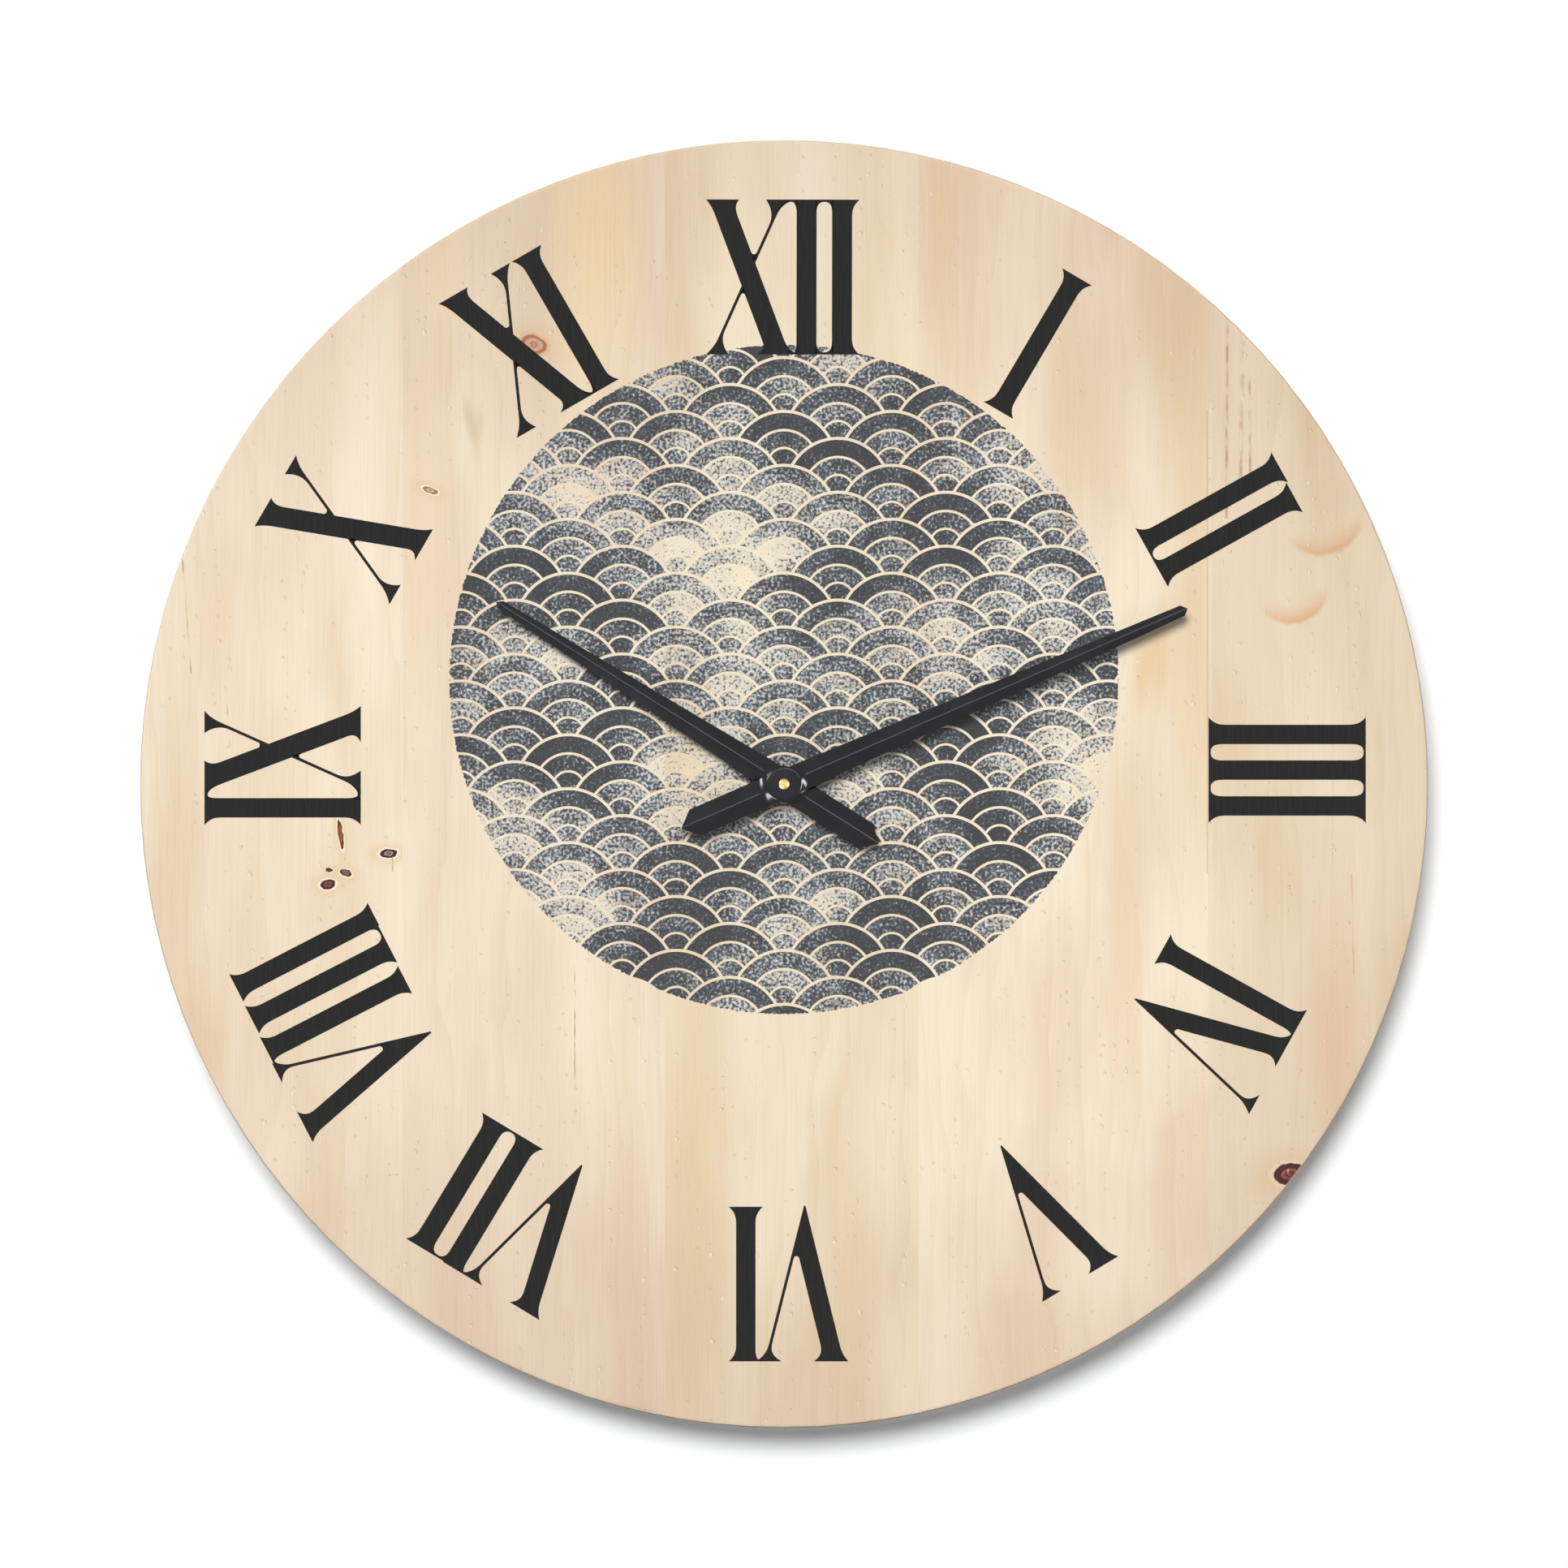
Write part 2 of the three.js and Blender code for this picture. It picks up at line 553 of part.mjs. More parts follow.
/** Plate that carries the inner ends of the train. */
function trainBridge() {
  const { rear, front } = bridgeLevel;
  const outline = plate(-bridgeSide, bridgeFoot, bridgeSide, bridgeHead, POST_DIAMETER / 2);
  const hole = (radius, at) => rod(radius + SLIP_GAP, rear - ROOM, front + ROOM, at);
  return cut(
    prism(outline, rear, front),
    ...bridgePosts.map((at) => hole(PIN_DIAMETER / 2, at)),
    ...[hub, thirdAxis, intermediateAxis, rotorAxis].map((at) => hole(PIVOT_DIAMETER / 2, at)),
    hole(SETTING_SHAFT_DIAMETER / 2, minuteAxis),
  );
}

/** Brass nose of the movement, with a flange against the case. */
function threadedBushing() {
  return joined(
    tube(bushingBore, bushingRadius, frontInside, bushingFront),
    tube(bushingBore, flangeRadius, caseFront, pocketFloor),
  );
}

/** Ring nut with two spanner slots. */
function dialNut() {
  const ring = tube(bushingRadius + PRESS_GAP, flangeRadius, nutRear, nutRear + NUT_THICKNESS);
  const low = [-flangeRadius - ROOM, -NUT_SLOT / 2, nutRear + NUT_THICKNESS / 2];
  const high = [flangeRadius + ROOM, NUT_SLOT / 2, nutRear + NUT_THICKNESS + ROOM];
  return ring.subtract(block(low, high));
}

/** Hour wheel with the pipe that carries the hour hand. */
function hourWheel() {
  const pipe = rod(pipeRadius, hourLevel.rear, pipeFront, hub, ROUND_FACETS);
  const bore = rod(pipeBore, hourLevel.rear - ROOM, pipeFront + ROOM, hub, ROUND_FACETS);
  return joined(wheel(HOUR_TEETH, hourModule, MINUTE_LEAVES, hourLevel), pipe).subtract(bore);
}

/** Minute arbor with the cannon pinion, a stub for the centre wheel and a domed end. */
function minuteArbor() {
  const rear = centreLevel.rear - SLIP_GAP;
  const profile = [
    [0, rear],
    [stubRadius, rear],
    [stubRadius, cannonLevel.front],
    [arborRadius, cannonLevel.front],
    [arborRadius, arborFront - BOSS_ROUND],
    [arborRadius * 0.87, arborFront - BOSS_ROUND / 2],
    [arborRadius / 2, arborFront - BOSS_ROUND * 0.13],
    [0, arborFront],
  ];
  const socket = rod(PIVOT_DIAMETER / 2 + SLIP_GAP, rear - ROOM, cannonLevel.rear);
  return joined(turned(profile), pinion(CANNON_LEAVES, minuteModule, cannonLevel)).subtract(socket);
}

/** Centre wheel, held on the minute arbor by friction. */
function centreWheel() {
  const bore = rod(
    stubRadius + PRESS_GAP, centreLevel.rear - ROOM, centreLevel.front + ROOM, hub, ROUND_FACETS);
  return wheel(CENTRE_TEETH, centreModule, TRAIN_LEAVES, centreLevel).subtract(bore);
}

/** Minute wheel, its pinion and front pivot, with a socket for the setting shaft. */
function minuteWheel() {
  const root = (MINUTE_LEAVES / 2 - LEAF_DEDENDUM) * hourModule;
  const link = rod(root, cannonLevel.front - ROOM, hourLevel.rear + ROOM);
  const pivot = rod(PIVOT_DIAMETER / 2, hourLevel.front - ROOM, frontInside + FRONT_WALL / 2 - SLIP_GAP);
  const socket = rod(PIVOT_DIAMETER / 2 + PRESS_GAP, cannonLevel.rear - ROOM, cannonLevel.front);
  return joined(
    wheel(MINUTE_TEETH, minuteModule, CANNON_LEAVES, cannonLevel),
    pinion(MINUTE_LEAVES, hourModule, hourLevel),
    link,
    pivot,
  ).subtract(socket);
}

/** Fluted knob in the cover, with the shaft that turns the minute wheel. */
function settingKnob() {
  const flutes = 18;
  const radius = KNOB_DIAMETER / 2;
  const rim = toothed(flutes, [[radius * 0.93, 0.11], [radius, 0.06]]);
  const rear = KNOB_SUNK;
  const front = rear + KNOB_THICKNESS;
  return joined(
    prism(rim, rear, front),
    rod(SETTING_SHAFT_DIAMETER / 2, front - ROOM, cannonLevel.rear - PRESS_GAP),
    rod(PIVOT_DIAMETER / 2, cannonLevel.rear - ROOM, cannonLevel.front - SLIP_GAP),
  );
}

/** A wheel and a pinion on one arbor that runs from one height to another. */
function trainWheel([teeth, wheelModule, wheelLevel], [leafModule, leafLevel], rear, front) {
  return joined(
    wheel(teeth, wheelModule, TRAIN_LEAVES, wheelLevel),
    pinion(TRAIN_LEAVES, leafModule, leafLevel),
    rod(PIVOT_DIAMETER / 2, rear, front),
  );
}

const thirdWheel = () => trainWheel(
  [THIRD_TEETH, thirdModule, thirdLevel], [centreModule, centreLevel],
  bridgeLevel.rear, frontInside + FRONT_WALL / 2 - SLIP_GAP);

const secondsWheel = () => trainWheel(
  [SECONDS_TEETH, secondsModule, secondsLevel], [thirdModule, thirdLevel],
  COVER_THICKNESS / 2 + SLIP_GAP, centreLevel.front);

const intermediateWheel = () => trainWheel(
  [INTERMEDIATE_TEETH, rotorModule, rotorLevel], [secondsModule, secondsLevel],
  COVER_THICKNESS / 2 + SLIP_GAP, bridgeLevel.front);

/** Rotor pinion with its arbor. */
function rotorPinion() {
  return joined(
    pinion(TRAIN_LEAVES, rotorModule, rotorLevel),
    rod(PIVOT_DIAMETER / 2, COVER_THICKNESS / 2 + SLIP_GAP, bridgeLevel.front),
  );
}

/** Ring magnet on the rotor arbor. */
function rotorMagnet() {
  const bore = PIVOT_DIAMETER / 2 + PRESS_GAP;
  return tube(bore, MAGNET_DIAMETER / 2, magnetLevel.rear, magnetLevel.front, SMALL_FACETS);
}

/** Iron yoke with the rotor hole and an arm to each end of the coil. */
function stator() {
  const side = CORE_LENGTH / 2;
  const top = coilAxisY + CORE_HEIGHT / 2;
  const foot = rotorAxis.y - statorReach;
  const head = rotorAxis.y + statorReach;
  const window = block([-side + STATOR_ARM, head, 0], [side - STATOR_ARM, top + ROOM, caseFront]);
  const outline = prism(plate(-side, foot, side, top, STATOR_RIM), statorRear, coreRear);
  const gap = rod(MAGNET_DIAMETER / 2 + ROOM, 0, caseFront, rotorAxis, ROUND_FACETS);
  return cut(outline, window, gap, ...coilHoles());
}

/** Holes for the two coil screws. */
function coilHoles() {
  return coilPosts().map((at) => rod(PIN_DIAMETER / 2 + PRESS_GAP, 0, caseFront, at));
}

/** Iron bar through the coil. */
function coilCore() {
  const x = CORE_LENGTH / 2;
  const y = CORE_HEIGHT / 2;
  const bar = block([-x, coilAxisY - y, coreRear], [x, coilAxisY + y, coreFront]);
  return cut(bar, ...coilHoles());
}

/** A block about the coil axis, by half length, height and depth. */
function coilBlock(length, height, depth) {
  return block(
    [-length, coilAxisY - height, coilZ - depth],
    [length, coilAxisY + height, coilZ + depth]);
}

const sleeveHeight = CORE_HEIGHT / 2 + PRESS_GAP + ROOM;
const sleeveDepth = STATOR_THICKNESS / 2 + PRESS_GAP + ROOM;

/** Spool with a flange at each end. */
function coilBobbin() {
  const half = COIL_LENGTH / 2;
  const waist = half - FAST_FACE;
  const outer = coilBlock(half, COIL_HEIGHT / 2, COIL_DEPTH / 2);
  const sleeve = coilBlock(half, sleeveHeight, sleeveDepth);
  const groove = coilBlock(waist, COIL_HEIGHT, COIL_DEPTH).subtract(sleeve);
  const bore = coilBlock(COIL_LENGTH, CORE_HEIGHT / 2 + PRESS_GAP, STATOR_THICKNESS / 2 + PRESS_GAP);
  return cut(outer, groove, bore);
}

/** Copper winding on the spool. */
function coilWinding() {
  const half = COIL_LENGTH / 2 - FAST_FACE - PRESS_GAP;
  const low = ROOM;
  const outer = coilBlock(half, COIL_HEIGHT / 2 - low, COIL_DEPTH / 2 - low);
  return outer.subtract(coilBlock(COIL_LENGTH, sleeveHeight + PRESS_GAP, sleeveDepth + PRESS_GAP));
}

/** Screw through the stator and the core into its post. */
function coilScrew(side) {
  const head = PIN_DIAMETER * 0.9;
  const shank = PIN_DIAMETER / 2;
  const rear = statorRear - FAST_FACE;
  const at = { x: side * coilScrewX, y: coilAxisY };
  return joined(rod(head, rear, statorRear, at), rod(shank, rear, coreFront + 2 * PIN_DIAMETER, at));
}

/** Board for the circuit, on two posts beside the bridge. */
function circuitBoard() {
  return prism(plate(boardLeft, boardFoot, boardRight, boardHead, ROOM), boardRear, boardFront);
}

/** Drop of resin over the chip. */
function circuitChip() {
  const radius = CHIP_DIAMETER / 2;
  const top = boardRear - PRESS_GAP;
  const profile = [
    [0, top - CHIP_HEIGHT],
    [radius * 0.55, top - CHIP_HEIGHT * 0.85],
    [radius * 0.9, top - CHIP_HEIGHT * 0.4],
    [radius, top],
    [0, top],
  ];
  return turned(profile, SMALL_FACETS);
}

/** Tuning-fork crystal in its can, lying along the board. */
function quartzCrystal() {
  const radius = CRYSTAL_DIAMETER / 2;
  const can = new THREE.CylinderGeometry(radius, radius, CRYSTAL_LENGTH, SMALL_FACETS);
  return solid(can.translate(0, 0, boardRear - PRESS_GAP - radius));
}

/** One AA cell lying along the bay, its nub to the left. */
function battery() {
  const radius = BATTERY_DIAMETER / 2;
  const nub = BATTERY_NUB_DIAMETER / 2;
  const shoulder = BATTERY_LENGTH / 2 - BATTERY_NUB;
  const profile = [
    [0, -BATTERY_LENGTH / 2],
    [radius - BATTERY_NUB / 2, -BATTERY_LENGTH / 2],
    [radius, -BATTERY_LENGTH / 2 + BATTERY_NUB / 2],
    [radius, shoulder - BATTERY_NUB / 2],
    [radius - BATTERY_NUB / 2, shoulder],
    [nub, shoulder],
    [nub, BATTERY_LENGTH / 2],
    [0, BATTERY_LENGTH / 2],
  ];
  const points = profile.map(([x, y]) => new THREE.Vector2(x, y));
  const cell = new THREE.LatheGeometry(points, ROUND_FACETS).rotateZ(Math.PI / 2);
  return solid(cell.translate(0, batteryY, batteryZ));
}

/** The bent part of a contact that bears on the cell, on the given side. */
function contactSpring(side) {
  const wall = side * (roomSide - ROOM / 2 - CONTACT_THICKNESS / 2);
  const crest = side * (BATTERY_LENGTH / 2 + CONTACT_THICKNESS / 2 + PRESS_GAP);
  const reach = BATTERY_DIAMETER / 4;
  return [
    [wall, batteryY - 1.5 * reach],
    [wall, batteryY - reach],
    [crest, batteryY],
    [wall, batteryY + reach],
  ];
}

/** Strip from the nub of the cell up to the board. */
function positiveContact() {
  const path = contactSpring(-1);
  const [wall] = path[0];
  const bent = strip([...path, [wall, boardFoot + POST_DIAMETER]], CONTACT_THICKNESS);
  return prism(bent, contactRear, contactFront);
}

/** Strip from the foot of the cell along the bay wall to the board. */
function negativeContact() {
  const path = contactSpring(1);
  const [wall] = path[0];
  const run = roomBottom + ROOM / 2 + CONTACT_THICKNESS / 2;
  const end = boardRight - CONTACT_THICKNESS;
  const bent = strip([...path, [wall, run], [end, run], [end, boardFoot + POST_DIAMETER]], CONTACT_THICKNESS);
  return prism(bent, contactRear, contactFront);
}

/** A pressed hand pointing up: two wings falling from a ridge, and a round boss at the hub. */
function hand(length, tipWidth, rear, bore) {
  const half = HAND_WIDTH / 2;
  const ridge = rear + handRise;
  const top = ridge + BOSS_RISE;
  const wing = (side) => {
    const outline = new THREE.Shape([
      new THREE.Vector2(0, -TAIL_LENGTH),
      new THREE.Vector2(side * half, -TAIL_LENGTH + TAIL_POINT),
      new THREE.Vector2(side * half, 0),
      new THREE.Vector2((side * tipWidth) / 2, length - HAND_POINT),
      new THREE.Vector2(0, length),
    ]);
    const sheet = new THREE.ExtrudeGeometry(outline, { depth: HAND_SHEET, bevelEnabled: false });
    const place = sheet.attributes.position;
    for (let i = 0; i < place.count; i += 1) {
      place.setZ(i, place.getZ(i) + ridge - HAND_SHEET - HAND_SLOPE * Math.abs(place.getX(i)));
    }
    return solid(sheet);
  };
  const radius = BOSS_DIAMETER / 2;
  const boss = turned([
    [0, rear],
    [radius, rear],
    [radius, top - BOSS_ROUND],
    [radius - BOSS_ROUND * 0.3, top - BOSS_ROUND * 0.3],
    [radius - BOSS_ROUND, top],
    [0, top],
  ]);
  const skirt = turned([
    [0, rear + HAND_SHEET / 2],
    [radius + BOSS_SKIRT, rear + HAND_SHEET / 2],
    [radius + BOSS_SKIRT, ridge],
    [radius + BOSS_SKIRT * 0.35, ridge + BOSS_RISE * 0.2],
    [radius, ridge + BOSS_RISE * 0.6],
    [0, ridge + BOSS_RISE * 0.6],
  ]).intersect(block([-half, -TAIL_LENGTH, rear], [half, TAIL_LENGTH, top]));
  const hole = rod(bore, rear - ROOM, top + ROOM, hub, ROUND_FACETS);
  return joined(wing(-1), wing(1), boss, skirt).subtract(hole);
}

/** A finish from its colour, roughness and metalness. */
function finish(color, roughness, metalness) {
  return new THREE.MeshStandardMaterial({ color, roughness, metalness });
}

const pine = finish(0xefdcbf, 0.7, 0);
const blackPaint = finish(0x2b2a2e, 0.45, 0.2);
const brass = finish(0xc79a4a, 0.3, 1);
const steel = finish(0xb8bcc0, 0.35, 1);
const iron = finish(0x8d8f92, 0.5, 1);
const copper = finish(0xb56a3a, 0.4, 1);
const blackPlastic = finish(0x1d1d1f, 0.6, 0);
const whitePlastic = finish(0xf1efe8, 0.5, 0);
const rubber = finish(0x262626, 0.9, 0);
const ferrite = finish(0x3a3a3c, 0.7, 0);
const laminate = finish(0x2f6b45, 0.6, 0);
const can = finish(0x8c8f93, 0.35, 1);

const clock = new THREE.Group();
clock.name = "wall_clock";
clock.rotation.x = Math.PI / 2;

/** Adds one named piece at an axis and a turn about it. */
function place(name, body, material, at = hub, turn = 0) {
  const { vertProperties, triVerts } = body.getMesh();
  const geometry = new THREE.BufferGeometry();
  geometry.setAttribute("position", new THREE.BufferAttribute(vertProperties, 3));
  geometry.setIndex(new THREE.BufferAttribute(triVerts, 1));
  geometry.computeVertexNormals();
  const mesh = new THREE.Mesh(geometry, material);
  mesh.name = name;
  mesh.position.set(at.x, at.y, 0);
  mesh.rotation.z = turn;
  clock.add(mesh);
}

const motionDirection = radians(MOTION_DIRECTION);
const thirdDirection = radians(THIRD_DIRECTION);
const minuteTurn = meshing(CANNON_LEAVES, 0, motionDirection, MINUTE_TEETH);
const hourTurn = meshing(MINUTE_LEAVES, minuteTurn, motionDirection + Math.PI, HOUR_TEETH);
const thirdTurn = meshing(CENTRE_TEETH, 0, thirdDirection, TRAIN_LEAVES);
const secondsTurn = meshing(THIRD_TEETH, thirdTurn, thirdDirection + Math.PI, TRAIN_LEAVES);
const intermediateTurn = meshing(SECONDS_TEETH, secondsTurn, radians(INTERMEDIATE_DIRECTION), TRAIN_LEAVES);
const rotorTurn = meshing(INTERMEDIATE_TEETH, intermediateTurn, radians(ROTOR_DIRECTION), TRAIN_LEAVES);

for (const [name, body] of planks()) place(name, body, pine);
place("hanger_plate", hangerPlate(), steel);
place("hanger_screw_top", hangerScrew("top"), steel);
place("hanger_screw_bottom", hangerScrew("bottom"), steel);

place("movement_case", movementCase(), blackPlastic);
place("rear_cover", rearCover(), blackPlastic);
place("train_bridge", trainBridge(), whitePlastic);
place("threaded_bushing", threadedBushing(), brass);
place("rubber_gasket", tube(flangeRadius + SLIP_GAP, GASKET_DIAMETER / 2, caseFront, pocketFloor), rubber);
place("dial_washer", tube(bushingRadius + SLIP_GAP, flangeRadius, dialFront, nutRear), brass);
place("dial_nut", dialNut(), brass);

place("minute_arbor", minuteArbor(), brass);
place("centre_wheel", centreWheel(), whitePlastic);
place("hour_wheel", hourWheel(), brass, hub, hourTurn);
place("minute_wheel", minuteWheel(), whitePlastic, minuteAxis, minuteTurn);
place("setting_knob", settingKnob(), whitePlastic, minuteAxis);
place("third_wheel", thirdWheel(), whitePlastic, thirdAxis, thirdTurn);
place("seconds_wheel", secondsWheel(), whitePlastic, hub, secondsTurn);
place("intermediate_wheel", intermediateWheel(), whitePlastic, intermediateAxis, intermediateTurn);
place("rotor_pinion", rotorPinion(), whitePlastic, rotorAxis, rotorTurn);
place("rotor_magnet", rotorMagnet(), ferrite, rotorAxis);

place("stator", stator(), iron);
place("coil_core", coilCore(), iron);
place("coil_bobbin", coilBobbin(), whitePlastic);
place("coil_winding", coilWinding(), copper);
place("coil_screw_left", coilScrew(-1), steel);
place("coil_screw_right", coilScrew(1), steel);

place("circuit_board", circuitBoard(), laminate);
place("circuit_chip", circuitChip(), blackPlastic, { x: boardMiddle, y: rotorAxis.y / 2 });
place("quartz_crystal", quartzCrystal(), can, { x: boardMiddle, y: boardFoot + CRYSTAL_LENGTH });
place("battery", battery(), can);
place("positive_contact", positiveContact(), steel);
place("negative_contact", negativeContact(), steel);

place("hour_hand", hand(HOUR_LENGTH, HOUR_TIP_WIDTH, hourRear, pipeRadius + PRESS_GAP),
  blackPaint, hub, -radians(HOUR_ANGLE));
place("minute_hand", hand(MINUTE_LENGTH, MINUTE_TIP_WIDTH, minuteRear, arborRadius + PRESS_GAP),
  blackPaint, hub, -radians(MINUTE_ANGLE));

export default clock;
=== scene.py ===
"""Looks of a round pine wall clock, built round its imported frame.

Five edge-glued planks carry printed Roman numerals and a printed disc of scales. Ridged black hands
turn on a brass arbor, and a quartz movement sits in the back under a keyhole hanger. Sizes are in
millimetres and go into the meshes in metres.
"""

import json
import logging
import math
from dataclasses import dataclass
from enum import Enum
from functools import partial
from typing import NamedTuple

import bpy
import numpy as np
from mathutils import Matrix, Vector


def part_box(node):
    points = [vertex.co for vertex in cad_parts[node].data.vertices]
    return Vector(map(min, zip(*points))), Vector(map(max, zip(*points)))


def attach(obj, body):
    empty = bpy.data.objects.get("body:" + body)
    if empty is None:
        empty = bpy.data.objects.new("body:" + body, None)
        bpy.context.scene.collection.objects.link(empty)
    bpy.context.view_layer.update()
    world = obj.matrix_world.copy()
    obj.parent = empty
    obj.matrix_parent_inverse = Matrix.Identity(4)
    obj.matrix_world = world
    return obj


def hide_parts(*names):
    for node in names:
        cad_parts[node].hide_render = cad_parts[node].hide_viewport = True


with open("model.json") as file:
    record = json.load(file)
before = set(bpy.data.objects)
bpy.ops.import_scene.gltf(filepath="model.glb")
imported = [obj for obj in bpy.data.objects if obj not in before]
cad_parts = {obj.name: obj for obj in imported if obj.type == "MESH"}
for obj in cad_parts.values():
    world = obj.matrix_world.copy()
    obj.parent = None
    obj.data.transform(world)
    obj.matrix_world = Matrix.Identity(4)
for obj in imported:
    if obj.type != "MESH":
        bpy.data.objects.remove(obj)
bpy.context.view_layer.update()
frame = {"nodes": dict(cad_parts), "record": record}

LOG = logging.getLogger("wall_clock")
MM = 0.001
DIAL_RADIUS = 203.2
FRONT = -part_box("plank_centre")[0].y / MM
SKIN = 0.3  # how far into the front its marks and its print reach
ENDLESS = 1e6  # a depth so great that it doesn't count

Colour = tuple[float, float, float, float]


class Join(Enum):
    """Where the letters of one numeral run together."""

    NONE = (False, False)
    FOOT = (True, False)
    HEAD = (False, True)
    BOTH = (True, True)


class Shape(Enum):
    """The letters that the numerals are made of."""

    I = "I"
    V = "V"
    X = "X"


class Merge(Enum):
    """What a Boolean does with the later meshes."""

    FUSE = "UNION"
    CUT = "DIFFERENCE"


def linear(code: str) -> Colour:
    """Turns an sRGB colour into linear light.

    Args:
        code: The colour as six hex digits after a hash sign.

    Returns:
        Red, green, blue and an alpha of one.
    """
    channels = np.array([int(code[i:i + 2], 16) for i in (1, 3, 5)]) / 255
    light = np.where(channels <= 0.04045, channels / 12.92, ((channels + 0.055) / 1.055) ** 2.4)
    return (*light.tolist(), 1.0)


def add_node(tree: bpy.types.NodeTree, kind: str, inputs: dict | None = None,
             ramp: list | None = None, stepped: bool = False, **settings) -> bpy.types.Node:
    """Adds a node, sets it and links it.

    Args:
        tree: The tree that takes the node.
        kind: The node's type, without the ShaderNode that starts it.
        inputs: Socket name or number, with a number, a colour, an output or a node.
        ramp: Positions and colours of a Color Ramp.
        stepped: Whether the ramp keeps each colour up to the next position.
        settings: The node's own properties.

    Returns:
        The new node.
    """
    node = tree.nodes.new("ShaderNode" + kind)
    for name, value in settings.items():
        setattr(node, name, value)
    for key, value in (inputs or {}).items():
        live = [s for s in node.inputs if s.enabled]
        socket = node.inputs[key] if isinstance(key, int) else next(s for s in live if s.name == key)
        if isinstance(value, bpy.types.Node):
            value = next(s for s in value.outputs if s.enabled)
        if isinstance(value, bpy.types.NodeSocket):
            tree.links.new(value, socket)
        else:
            socket.default_value = value
    if stepped:
        node.color_ramp.interpolation = "CONSTANT"
    for step, (position, colour) in enumerate(ramp or []):
        stops = node.color_ramp.elements
        stop = stops[step] if step < 2 else stops.new(position)
        stop.position = position
        stop.color = colour
    return node


def open_material(name: str) -> tuple[bpy.types.Material, bpy.types.NodeTree, bpy.types.Node]:
    """Starts a material that reads Object coordinates in millimetres.

    Args:
        name: The material's name.

    Returns:
        The material, its empty tree, and a node that gives the place in millimetres.
    """
    material = bpy.data.materials.new(name)
    material.use_nodes = True
    tree = material.node_tree
    tree.nodes.clear()
    place = add_node(tree, "TexCoord").outputs["Object"]
    scale = (1 / MM, 1 / MM, 1 / MM)
    return material, tree, add_node(tree, "VectorMath", {0: place, 1: scale}, operation="MULTIPLY")


def close_material(tree: bpy.types.NodeTree, bump: bpy.types.Node | None, depth: float,
                   **sockets) -> bpy.types.Node:
    """Ends a material in a Principled shader.

    Args:
        tree: The tree to end.
        bump: A node with a height from zero to one, or nothing.
        depth: How deep that height is, in millimetres.
        sockets: The shader's inputs, with _ for a space.

    Returns:
        The shader.
    """
    add = partial(add_node, tree)
    inputs = {key.replace("_", " "): value for key, value in sockets.items()}
    if bump is not None:
        inputs["Normal"] = add("Bump", {"Height": bump, "Distance": depth * MM, "Strength": 1.0})
    shader = add("BsdfPrincipled", inputs)
    add("OutputMaterial", {"Surface": shader})
    return shader


def grain(tree: bpy.types.NodeTree, place: bpy.types.Node, size: tuple, seed: float = 0.0,
          detail: float = 2.0) -> bpy.types.Node:
    """Adds noise whose lumps have a given size.

    Args:
        tree: The tree that takes the nodes.
        place: The place in millimetres.
        size: Width, depth and height of a lump, in millimetres.
        seed: How far the pattern is moved, in lumps.
        detail: How many finer layers it has.

    Returns:
        The noise, about 0.3 to 0.7.
    """
    spread = add_node(tree, "Mapping", {"Vector": place, "Location": (seed, seed * 1.7, seed * 0.6),
                                        "Scale": tuple(1 / s for s in size)})
    return add_node(tree, "TexNoise", {"Vector": spread, "Scale": 1.0, "Detail": detail})


